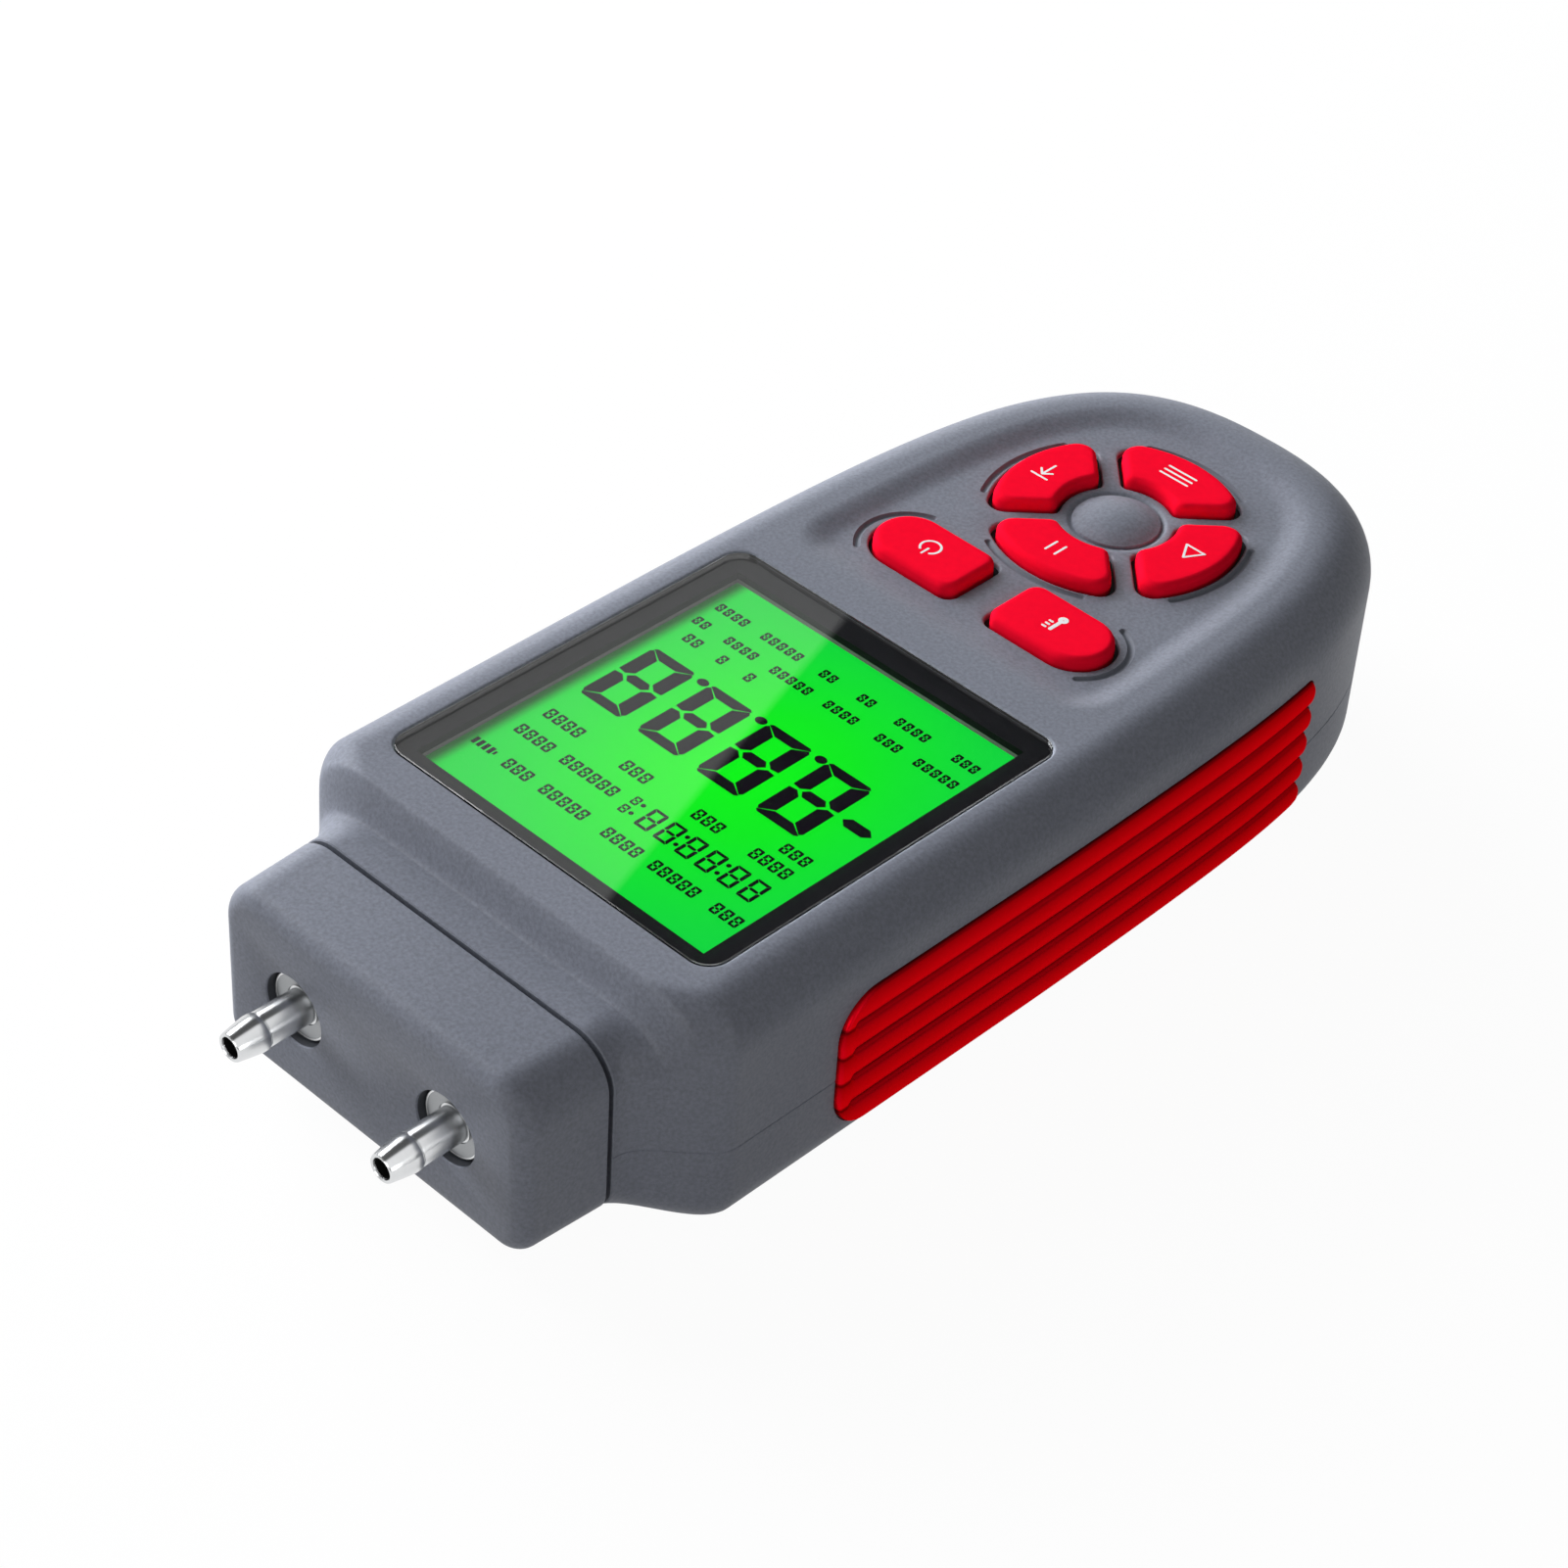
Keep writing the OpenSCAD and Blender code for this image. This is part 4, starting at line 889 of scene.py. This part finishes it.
def grid_solid(name, near, far, side):
    """A closed solid between two grids of points that share their border's order."""
    rows, cols = near.shape[:2]
    count = rows * cols
    points = np.concatenate([near.reshape(-1, 3), far.reshape(-1, 3)])
    points[:, 0] *= side
    faces = []
    for i in range(rows - 1):
        for k in range(cols - 1):
            a = i * cols + k
            b = count + a
            faces.append((a, a + 1, a + cols + 1, a + cols))
            faces.append((b, b + cols, b + cols + 1, b + 1))
    index = np.arange(count).reshape(rows, cols)
    border = [index[0], index[1:, -1], index[-1, -2::-1], index[-2:0:-1, 0]]
    border = np.concatenate(border).tolist()
    for a, b in zip(border, border[1:] + border[:1]):
        faces.append((a, b, count + b, count + a))
    return new_mesh(name, points, faces)


def grip_cutter(side):
    y, z = grip_grid(GRIP_GAP)[2:4]
    near = np.stack([half_w(y) - GRIP_POCKET, y, z], -1)
    far = np.stack([np.full_like(y, OUTSIDE), y, z], -1)
    return grid_solid("t_grip", near, far, side)


def build_front():
    shell = half_shell("front_shell", True)
    coat(shell, "case")
    tools = [flared("t_lens", lambda g: lens_outline(LENS_GAP + g), 31.6, BODY_H, FILLET)]
    for name in KEYS:

        def opening(grow, name=name):
            return key_outline(name, KEY_GAP + grow)

        tools.append(flared("t_" + name, opening, 28, FLOOR_Z, FILLET))
    for tool in tools:
        coat(tool, "case")
    tools += [ring_arc(turn) for turn in (0, 90, 180, 270)]
    tools += [pair_arc(mirror) for mirror in (False, True)]
    rim = [
        (0, -GROOVE_DEPTH), (5.9, -GROOVE_DEPTH), (6.08, -0.31), (6.26, -0.2),
        (6.44, -0.07), (6.6, PAST), (6.62, 2), (0, 2),
    ]
    well = lathe("t_dome", [(r, FLOOR_Z + z) for r, z in rim], 96, centre=DOME_AT)
    coat(well, "case")
    boolean(shell, join("t_all", tools + [well]), "DIFFERENCE")
    half = WINDOW_W / 2
    window = box("t_window", -half, half, WINDOW_Y - WINDOW_LEN, WINDOW_Y, 29, 32)
    # The window's walls take the black film's colour: painted shade
    coat(window, "mask")
    boolean(shell, window, "DIFFERENCE")
    for side in (-1, 1):
        boolean(shell, grip_cutter(side), "DIFFERENCE")
    place(shell, "case", "case", ["front_cover"], 30)


def build_dome():
    foot = GROOVE_DEPTH - 0.01
    profile = [(0, -foot), (5.84, -foot), (5.8, -0.2), (5.66, 0)]
    ball = (DOME_R**2 + DOME_H**2) / (2 * DOME_H)
    for r in np.linspace(DOME_R - 0.1, 0, 18):
        profile.append((float(r), DOME_H - ball + math.sqrt(ball * ball - r * r)))
    dome = lathe("centre_dome", [(r, FLOOR_Z + z) for r, z in profile], 96, centre=DOME_AT)
    place(dome, "case", angle=40)


def build_mat():
    """The black key mat, with the collars that fill the gap round each key."""
    low, high = 25.9, 26.9
    pad = round_rect(40.8, PAIR_Y - 6.5, PAIR_Y + 6.5, 1.5)
    parts = [
        lathe("m_ring", [(4.8, low), (18, low), (18, high), (4.8, high)], 72, centre=DOME_AT),
        prism("m_pair", pad, low, high),
    ]
    low, high = 29.75, 31.25
    for name in KEYS:
        inner, outer = key_outline(name, 0.06), key_outline(name, KEY_GAP + 0.25)
        count = len(inner)
        rings = [at_z(inner, low), at_z(outer, low), at_z(outer, high), at_z(inner, high)]
        faces = [f for k in range(4) for f in band(k * count, (k + 1) % 4 * count, count)]
        parts.append(new_mesh("m_collar", np.concatenate(rings), faces))
    place(join("key_mat_rubber", parts), "mat", "case", ["key_mat"], 40)


# ---- back cover and door
# How far parts that are joined lie in each other, and the bay's end wall
SINK, END_WALL = 0.2, 1.8
# Places of the screws, then their boss (radius, foot, top), the head's hole and the shank's
SCREWS = [
    (24, 52.45, (3.6, 2.0, PART_H - 0.05), (2.7, 5.6), 1.6),
    (22.5, -58.95, (3.6, 2.0, PART_H - 0.05), (2.7, 5.6), 1.6),
    (9, 58.85, (2.8, 5.0, 6.1), (2.2, 4.9), 1.3),
]


def door_space(gap, above):
    """The room that the door's panel and end flap take, or their opening with its gap."""
    half, lip, start = DOOR_HW + gap, DOOR_HW + DOOR_LIP + gap, TAIL_Y - 1
    flap = (BAY_Y - END_WALL + gap, WALL - SINK - gap, DOOR_END_H + gap)
    return [
        box("t", -half, half, start, DOOR_START + gap, -1, WALL + above),
        box("t", -lip, lip, start, *flap),
    ]


def build_back():
    shell = half_shell("back_shell", False)
    coat(shell, "base")
    adds = []
    for s in (-1, 1):
        bay_end = DOOR_START + 1.5
        adds.append(side_box(s, 16.5, 18, BAY_Y, bay_end, WALL - SINK, BAY_TOP))
        adds.append(side_box(s, 14.4, 16.7, BAY_Y, bay_end, 3.5, 4.5))
        for x, y, (r, foot, top), _, _ in SCREWS:
            profile = [(0, foot), (r, foot), (r, top), (0, top)]
            adds.append(lathe("b", profile, 48, centre=(s * x, y, 0)))
    start, end = DOOR_START + 0.3, BAY_Y - 0.3
    adds.append(box("b", -18, 18, start, DOOR_START + END_WALL, WALL - SINK, BAY_TOP))
    adds.append(box("b", -18, 18, BAY_Y - END_WALL, end, DOOR_END_H + DOOR_GAP, BAY_TOP))
    boolean(shell, join("t_adds", adds), "UNION", True)
    tools = door_space(DOOR_GAP, DOOR_GAP)
    for x, y, _, (r, seat), hole in SCREWS:
        low = float(bottom_level(y))
        profile = [
            (0, -2), (r + 0.3, -2), (r + 0.3, low - PAST), (r + 0.12, low + 0.1), (r, low + 0.3),
            (r, seat), (hole, seat), (hole, PART_H + 2), (0, PART_H + 2),
        ]
        tools += [lathe("t", profile, 48, centre=(s * x, y, 0)) for s in (-1, 1)]
    boolean(shell, join("t_back", tools), "DIFFERENCE", True)
    for side in (-1, 1):
        boolean(shell, grip_cutter(side), "DIFFERENCE")
    place(shell, "base", "case", ["back_cover"], 30)


def build_door():
    """Panel and end flap cut from the same skin as the cover, with rails and finger ribs."""
    door = half_shell("door_panel", False)
    coat(door, "base")
    boolean(door, join("t_door", door_space(0, SINK)), "INTERSECT", True)
    rails = []
    for s in (-1, 1):
        rails.append(side_box(s, 13.85, 15.0, BAY_Y, DOOR_START, WALL - SINK, 3.35))
        rails.append(side_box(s, 14.8, 16.05, BAY_Y, DOOR_START, 2.35, 3.35))
    boolean(door, join("t_rails", rails), "UNION", True)
    tools = []
    for k in range(5):
        y = TAIL_Y + 16.4 + 1.6 * k
        rings = []
        for hw, z in ((0.5, -1), (0.48, -PAST), (0.4, 0.1), (0.3, 0.3), (0.12, 0.4)):
            outline = round_rect(14.2 + 2 * hw, y - hw, y + hw, hw * 0.98, steps=5)
            rings.append(at_z(outline, z))
        tools.append(loft("t_groove", rings))
    boolean(door, join("t_grooves", tools), "DIFFERENCE")
    place(door, "base", "door", ["battery_door"], 30)


# ---- cap
# Depth of the round pocket that each port stands in
POCKET = 2.2


def cap_ring(y, d, steps=12):
    """The cap's outline at a place along the body, shrunk by d."""
    hw = NECK_HW - CAP_TAPER * (y - SEAM_Y) / (FACE_Y - SEAM_Y) - d
    rt, rb = max(CAP_TOP_R - d, CAP_FACE_R), max(CAP_BOTTOM_R - d, CAP_FACE_R)
    top, low = BODY_H - NECK_DROP - d, NECK_RISE + d
    outline = (
        arc((hw - rt, top - rt), rt, 0, 90, steps)
        + arc((rt - hw, top - rt), rt, 90, 180, steps)
        + arc((rb - hw, low + rb), rb, 180, 270, steps)
        + arc((hw - rb, low + rb), rb, 270, 360, steps)
    )
    return [(x, y, z) for x, z in outline]


def build_cap():
    rings = [cap_ring(CAP_START, MOUTH_BREAK), cap_ring(CAP_START + MOUTH_BREAK, 0)]
    rings += [cap_ring(y, 0) for y in np.linspace(CAP_START + 0.6, FACE_Y - CAP_FACE_R, 8)]
    for way_in, down in quarter_round(10)[1:]:
        rings.append(cap_ring(FACE_Y - CAP_FACE_R * down, CAP_FACE_R * way_in))
    cap = loft("cap_shell", rings)
    coat(cap, "case")
    width, low, top = 2 * (NECK_HW - WALL - CAP_TAPER), NECK_RISE + WALL, BODY_H - NECK_DROP - WALL
    inside, end = round_rect(width, low, top, 2.9), FACE_Y - CAP_WALL
    hollow = [[(x, y, z) for x, z in inside] for y in (SEAM_Y - 1, end)]
    boolean(cap, loft("t_hollow", hollow), "DIFFERENCE")
    tongue = [
        box("b", -15, 15, SEAM_Y - 5.4, end + SINK, 6.1, 10.7),
        box("b", -15, 15, SEAM_Y + 0.2, end + SINK, 4.7, 6.3),
    ]
    boolean(cap, join("t_tongue", tongue), "UNION", True)
    edge = -0.25
    profile = [
        (0, 1), (5.1, 1), (5.06, PAST), (4.9, -0.06), (4.8, edge), (4.8, -POCKET),
        (2.65, -POCKET), (2.65, -CAP_WALL - 1), (0, -CAP_WALL - 1),
    ]
    profile = [(r, FACE_Y + h) for r, h in profile]
    for x in (-PORT_X, PORT_X):
        pocket = lathe("t_pocket", profile, 96, "y", (x, 0, PORT_Z))
        # The pocket's inner wall takes a near-black grey: painted shade
        coat(pocket, "case", "pocket")
        for face in pocket.data.polygons:
            face.material_index = 1 if face.center.y / MM < FACE_Y + edge else 0
        boolean(cap, pocket, "DIFFERENCE")
    place(cap, "case", "case", ["port_cap"], 30)


# ---- grips
def build_grip(name, side, node_name):
    """Ribs with grooves of that depth, standing proud of the body and reaching back into it."""
    depth, proud, back, power = 1.4, 0.7, 0.85, 2.6
    v, w, y, z, rib = grip_grid()
    brink = np.minimum(w, GRIP_SPAN - w)
    soft = np.interp(v, EDGES, RISE) * np.interp(GRIP_LEN - v, EDGES, RISE)
    lift = -back + (proud + back) * np.interp(brink, EDGES, RISE) * soft
    scoop = 1 - np.maximum(0, 1 - np.abs(rib * 0.995) ** power) ** (1 / power)
    groove = depth * scoop * ease((v - 1.6) / 1.1) * np.interp(brink, [0, 0.9], [0, 1])
    ground = half_w(y) - bottom_inset(z)
    near = np.stack([ground - back, y, z], -1)
    far = np.stack([ground + lift - groove * soft, y, z], -1)
    near[[0, -1]] = far[[0, -1]]
    near[:, [0, -1]] = far[:, [0, -1]]
    place(grid_solid(name, near, far, side), "grip", "case", [node_name], 50)


# ---- ports
# Radius and distance from the tip, down the mouth, the cone and the groove behind it
BARB = [
    (1.35, -0.35), (1.42, -0.1), (1.56, 0), (1.68, 0), (1.8, -0.08), (1.88, -0.22),
    (2.14, -1.7), (2.36, -3.1), (2.4, -3.45), (2.4, -4.2), (2.36, -4.28), (2.14, -4.32),
    (2.12, -4.4), (2.14, -4.5), (2.26, -4.54), (2.28, -4.6),
]
# Radius and height above the pocket's floor, out over the flange and back in under it
FLANGE = [
    (2.28, 0.72), (2.5, 0.7), (2.56, 0.84), (2.66, 0.88), (3.5, 0.95), (4.2, 1.08), (4.4, 1.1),
    (4.5, 1.05), (4.54, 0.95), (4.54, 0.7), (4.45, 0.52), (4.2, 0.44), (3.2, 0.4), (2.5, 0.4),
]
# Radius of the bore, and the places along Y of the port's inner end and its thread's
BORE_R, PORT_END, THREAD_END = 1.35, 56.0, 68.25


def build_port(name, x, node_name):
    profile = [(BORE_R, PORT_END)] + [(r, TIP_Y + h) for r, h in BARB]
    profile += [(r, FACE_Y - POCKET + h) for r, h in FLANGE]
    profile += [(2.5, THREAD_END), (1.7, THREAD_END), (1.7, 60.25), (1.7, PORT_END)]
    port = lathe(name, profile, 128, "y", (x, 0, PORT_Z))
    coat(port, "steel", "bore", "shaded_dish")
    for face in port.data.polygons:
        c = face.center / MM
        r = math.hypot(c.x - x, c.z - PORT_Z)
        # The bore is near-black: painted shadow
        if r < BORE_R + 0.02 and c.y < TIP_Y - 0.2:
            face.material_index = 1
        # The flange's face takes the darker nickel: painted shade
        elif 2.4 < r < 4.15 and c.y < FACE_Y:
            face.material_index = 2
    place(port, "steel", "case", [node_name], 28)


# ---- window plate
def build_lens():
    # Its underside stays clear of the printed film that it lies on in the solids
    levels = [(0, 31.82), (0, BODY_H - 0.18), (-0.05, BODY_H - 0.05), (-0.18, BODY_H)]
    plate = loft("window_plate", [at_z(lens_outline(grow), z) for grow, z in levels])
    place(plate, "lens", "case", ["display_lens"], 20)


# ---- display marks
# Zero of the display's own heights, and the lower and upper side of its print
DISPLAY_Y, PRINT_LOW, PRINT_HIGH = 47.05, LCD_TOP + 0.004, LCD_TOP + 0.03
# Sizes of the four kinds of eights: width, height, both widths of a segment, and the gap
BIG, CLOCK = (7.35, 12.95, 2.15, 1.55, 0.22), (2.25, 3.85, 0.5, 0.42, 0.07)
SMALL, WORD_SEGMENT = (1.05, 1.5, 0.28, 0.26, 0.04), (0.36, 0.32, 0.045)
# Rows of little eights: their height over zero, their size, and where each word starts
# and how many eights it has
WORDS = [
    (-8.95, 1.9, [(-21.9, 3), (-15.0, 5), (-5.6, 4), (3.4, 5), (12.9, 3)]),
    (-14.5, 1.9, [(4.2, 6), (15.2, 4)]),
    (-19.05, 1.95, [(-19.8, 4), (-8.8, 3), (3.3, 3), (14.9, 4)]),
    (-22.2, 1.85, [(-19.8, 3)]),
    (-41.8, 1.75, [(8.9, 1), (13.6, 1), (18.0, 2)]),
    (-45.1, 1.6, [(-21.6, 5), (-12.5, 3), (-5.3, 4), (2.4, 5), (11.7, 4), (20.0, 2)]),
    (-49.1, 1.6, [(-21.4, 3), (-13.4, 4), (-4.4, 2), (2.0, 2), (7.9, 5), (17.2, 4)]),
]


def eight(x, y, w, h, tx, ty, gap):
    """The seven segments of an eight: x, y is the lower left corner."""
    x1, y1, mid = x + w, y + h, y + h / 2
    cut = min(tx, ty) * 0.45
    slope, half, end, knee = cut * 0.6, ty * 0.5, tx * 0.72 + gap, tx + gap * 1.3

    def flipped(outline):
        return [(px, 2 * mid - py) for px, py in reversed(outline)]

    def mirrored(outline):
        return [(x + x1 - px, py) for px, py in reversed(outline)]

    top = [
        (x + gap + slope, y1), (x1 - gap - slope, y1), (x1 - gap, y1 - cut * 0.5),
        (x1 - tx - gap * 0.2, y1 - ty), (x + tx + gap * 0.2, y1 - ty), (x + gap, y1 - cut * 0.5),
    ]
    left = [
        (x, y1 - gap - cut), (x + cut * 0.5, y1 - gap - cut * 0.4), (x + tx, y1 - ty - gap),
        (x + tx, mid + half + gap), (x + tx * 0.55, mid + gap * 0.9), (x, mid + gap * 1.6),
    ]
    middle = [
        (x + end, mid), (x + knee, mid + half), (x1 - knee, mid + half),
        (x1 - end, mid), (x1 - knee, mid - half), (x + knee, mid - half),
    ]
    lower = flipped(left)
    return [top, flipped(top), left, lower, mirrored(left), mirrored(lower), middle]


def build_display():
    """Generic test pattern: plain eights, a minus, points, colons and bars."""
    shapes = []
    for x in (-15.7, -5.85, 4.15, 14.05):
        shapes += eight(x, -36.55, *BIG)
    for x in (-7.45, 2.55, 12.5):
        shapes.append([(px, 0.8 * py - 36.0) for px, py in disc(x, 0, 0.85)])
    mid, half = -30.0, 0.85
    minus = [(-21.4, 0), (-20.5, half), (-17.7, half), (-16.8, 0), (-17.7, -half), (-20.5, -half)]
    shapes.append([(x, mid + y) for x, y in minus])
    for x in (-19.96, -16.75, -13.08, -9.86, -6.33, -3.17):
        shapes += eight(x, -15.2, *CLOCK)
    shapes += [disc(x, y, 0.33, 12) for x in (-13.83, -7.06) for y in (-12.35, -14.25)]
    for y in (-12.4, -14.4):
        shapes.append(disc(0.45, y, 0.33, 12))
        shapes += eight(1.1, y - 0.75, *SMALL)
    for y, high, words in WORDS:
        wide = high * 0.62
        for x, count in words:
            for k in range(count):
                shapes += eight(x + k * (wide + 0.38), y, wide, high, *WORD_SEGMENT)
    x0, y0 = 19.0, -8.95
    for k in range(4):
        left = x0 + 0.55 + 0.9 * k
        shapes.append(rect(left, left + 0.6, y0 + 0.2, y0 + 1.5))
    shapes.append(rect(x0, x0 + 0.35, y0 + 0.5, y0 + 1.2))
    shapes = [[(x, y + DISPLAY_Y) for x, y in shape] for shape in shapes]
    pieces = [prism("s", shape, PRINT_LOW, PRINT_HIGH) for shape in shapes]
    place(join("lcd_segments", pieces), "segment", angle=20)


# ---- marks on the keys
def stroke(points, width):
    """Outlines of a line drawn with that width, one box a step and a disc at each point."""
    half = width / 2
    found = [disc(x, y, half, 12) for x, y in points]
    for (x0, y0), (x1, y1) in zip(points, points[1:]):
        length = math.hypot(x1 - x0, y1 - y0)
        nx, ny = -(y1 - y0) / length * half, (x1 - x0) / length * half
        ends = [(x0 + nx, y0 + ny), (x0 - nx, y0 - ny), (x1 - nx, y1 - ny), (x1 + nx, y1 + ny)]
        found.append(ends)
    return found


def level_lines(x0, x1, *heights):
    return [[(x0, y), (x1, y)] for y in heights]


def build_marks():
    """Power, thermometer, arrow to a line, two bars, triangle and three lines."""
    width, size, ring, pair = 0.32, 0.86, 12.1, 10.6
    bulb = (-0.3, -1.2)
    thermometer = [
        arc(bulb, 0.6, 0, 360, 16),
        arc(bulb, 0.3, 0, 360, 12),
        [(-0.42, -1.0), (-0.42, 1.8), (-0.18, 1.8), (-0.18, -1.0)],
    ]
    arrow = [[(0, -1.9), (0, 1.1)], [(-1.1, 0.1), (0, 1.2), (1.1, 0.1)]]
    marks = {
        "power_key": (pair, PAIR_Y, [arc((0, 0), 1.6, 125, 415, 26), [(0, 0.5), (0, 2.0)]]),
        "temperature_key": (-pair, PAIR_Y, thermometer + level_lines(0.55, 1.1, 0.2, 1.0, 1.8)),
        "max_key": (ring, RING_Y, level_lines(-1.5, 1.5, 1.9) + arrow),
        "hold_key": (0, RING_Y + ring, [[(x, -1.3), (x, 1.3)] for x in (-0.9, 0.9)]),
        "dif_key": (-ring, RING_Y, [[(-1.7, -1.3), (0, 1.6), (1.7, -1.3), (-1.7, -1.3)]]),
        "units_key": (0, RING_Y - ring, level_lines(-2.6, 2.6, 1.1, 0, -1.1)),
    }
    for name, (x, y, lines) in marks.items():
        bars = []
        for line in lines:
            bars += stroke([(x + px * size, y + py * size) for px, py in line], width)
        parts = [prism("m", bar, KEY_TOP - 0.06, KEY_TOP - 0.012) for bar in bars]
        mark = boolean(parts[0], join("u", parts[1:]), "UNION", True)
        mark.name = name + "_mark"
        mark.data.materials.clear()
        place(mark, "ink", name, (), 30)


# ---- everything else keeps its CAD shape
CARRIED = {
    "lens_mask": "mask",
    "lcd_holder": "holder",
    "lcd_panel": "lcd",
    "backlight": "guide",
    "zebra_strip": "zebra",
    "main_board": "board",
    "board_chips": "chip",
    "port_seals": "seal",
    "port_nuts": "nut",
    "left_tube": "tube",
    "right_tube": "tube",
    "pressure_sensor": "sensor",
    "buzzer": "buzzer",
    "battery": "cell",
    "battery_snap": "snap",
    "battery_leads": "lead",
    "case_screws": "screw",
    "board_screws": "screw",
    "cap_screws": "screw",
}
for name, material in CARRIED.items():
    NODES[name].data.materials.clear()
    coat(NODES[name], material)

build_front()
build_dome()
build_back()
build_door()
build_cap()
build_keys()
build_mat()
build_grip("right_grip_rubber", 1, "right_grip")
build_grip("left_grip_rubber", -1, "left_grip")
build_port("left_barb_fitting", -PORT_X, "left_port")
build_port("right_barb_fitting", PORT_X, "right_port")
build_lens()
build_display()
build_marks()


# ---- camera, stage and light
# The camera's own axes and place, and its focal length for a sensor 36 mm wide
RIGHT = (-0.711726461, -0.700507211, 0.052298103)
UP = (0.472792552, -0.422639346, 0.773203198)
BACK = (-0.519531180, 0.575035330, 0.631998198)
CAMERA_AT = np.array((-242.909, 277.900, 316.731))
LENS_MM = 88.40


def pose(x, y, z, at):
    """A matrix with these three axes, standing at this place in metres."""
    return Matrix([*zip(x, y, z, at), (0, 0, 0, 1)])


camera = bpy.data.objects.new("camera", bpy.data.cameras.new("camera"))
bpy.context.scene.collection.objects.link(camera)
camera.matrix_world = pose(RIGHT, UP, BACK, CAMERA_AT * MM)
camera.data.sensor_width = 36.0
camera.data.lens = LENS_MM
camera.data.clip_start, camera.data.clip_end = 0.01, 20.0
bpy.context.scene.camera = camera


def lamp(name, at, size, power, color=(1, 1, 1), mirrored=True):
    """A round lamp that looks at the origin; reflections may leave it out."""
    data = bpy.data.lights.new(name, "AREA")
    data.shape = "DISK"
    data.size = size
    data.energy = power
    data.color = color
    made = bpy.data.objects.new(name, data)
    made.visible_glossy = mirrored
    bpy.context.scene.collection.objects.link(made)
    back = np.array(at) / np.linalg.norm(at)
    side = np.cross((0, 0, 1), back)
    side /= np.linalg.norm(side)
    made.matrix_world = pose(side, np.cross(back, side), back, at)


COOL = (0.96, 0.98, 1.0)
lamp("lamp_top", (1.1, 0.1, 0.9), 0.8, 8.6, COOL)
lamp("lamp_right", (1.4, 0.3, 0.5), 0.8, 24.0, COOL, False)
lamp("lamp_tail", (1.5, -0.5, 0.5), 0.8, 27.0, COOL, False)
lamp("lamp_back", (1.6, -1.75, 0.55), 1.3, 4.7, COOL)
lamp("lamp_side", (-1.1, 0.2, 0.26), 0.5, 1.9)
lamp("lamp_cap", (-0.1, 1.1, 0.35), 0.6, 2.4)


def floor_material():
    """White for the camera and in reflections, and a darker grey for the light it returns."""
    made, tree, shader = new_material("floor_white", (0.8, 0.8, 0.8))
    path = tree.nodes.new("ShaderNodeLightPath").outputs
    grey = mix(tree, path["Is Camera Ray"], (0.35, 0.35, 0.35, 1), (0.9, 0.9, 0.9, 1))
    feed(tree, shader, {"Base Color": grey, "Roughness": 0.9, "Specular IOR Level": 0.0})
    seen = compute(tree, "MAXIMUM", path["Is Camera Ray"], path["Is Glossy Ray"])
    seen = compute(tree, "MAXIMUM", seen, path["Is Transmission Ray"])
    glow = node(tree, "ShaderNodeEmission", Strength=1.0).outputs["Emission"]
    mix_shaders(tree, compute(tree, "MULTIPLY", seen, 0.96), shader.outputs["BSDF"], glow)
    return made


floor = new_mesh("floor", at_z(rect(-3000, 3000, -3000, 3000), -0.3), [(0, 1, 2, 3)])
floor.data.materials.append(floor_material())


def build_world():
    """White for the camera, and for glass and metal a sky with dark parts in it."""
    world = bpy.data.worlds.new("studio")
    bpy.context.scene.world = world
    world.use_nodes = True
    tree = world.node_tree
    where = tree.nodes.new("ShaderNodeTexCoord").outputs["Generated"]
    unit = vector(tree, "NORMALIZE", where)

    def dot(direction, axis):
        return vector(tree, "DOT_PRODUCT", direction, tuple(map(float, axis)), out="Value")

    # The window mirrors a dark flag. Its edge runs through two points of the glare's edge,
    # and the side of a third point stays bright. All are seen from the mirrored camera.
    eye = CAMERA_AT * (1, 1, -1) + (0, 0, 2 * BODY_H)
    edge_points = [(8.22, -9.57), (-10.48, 48.10), (26.0, 20.0), (0, 20.0)]
    p1, p2, bright, centre = (np.array((*p, BODY_H)) - eye for p in edge_points)
    normal = np.cross(p1, p2)
    normal /= np.linalg.norm(normal) * math.copysign(1, normal @ bright)
    glare = span(tree, dot(unit, normal), -0.0012, 0.0012, 0.01, 0.66)
    near = span(tree, dot(unit, centre / np.linalg.norm(centre)), 0.93, 0.95, 0.0, 1.0)

    # Darker the higher it is, down to a little brighter again overhead
    height = span(tree, axis_of(tree, unit, "Z"), -1, 1, 0, 1)
    upper = grey_ramp(tree, height, [(0.5, 1.0), (0.6, 0.8), (0.7, 0.35), (0.86, 0.5)])

    # A white strip along the Y axis up on the left, with a dark gap on both sides of it
    rolled = vector(tree, "NORMALIZE", vector(tree, "MULTIPLY", unit, (1.0, 0.0, 1.0)))
    toward = dot(rolled, (-0.635, 0.0, 0.772))
    strip = span(tree, toward, 0.82, 0.90, 0.10, 1.0)
    upper = mix(tree, span(tree, toward, 0.15, 0.35, 0.0, 1.0), upper, strip, "FLOAT")

    # Other light is faint, so that the lamps shape the object
    path = tree.nodes.new("ShaderNodeLightPath").outputs
    clear = compute(tree, "MAXIMUM", path["Is Glossy Ray"], path["Is Transmission Ray"])
    shown = mix(tree, clear, 0.07, mix(tree, near, upper, glare, "FLOAT"), "FLOAT")
    strength = mix(tree, path["Is Camera Ray"], shown, 1.0, "FLOAT")
    feed(tree, tree.nodes["Background"], {"Color": (1, 1, 1, 1), "Strength": strength})


build_world()
bpy.context.scene.view_settings.view_transform = "Standard"
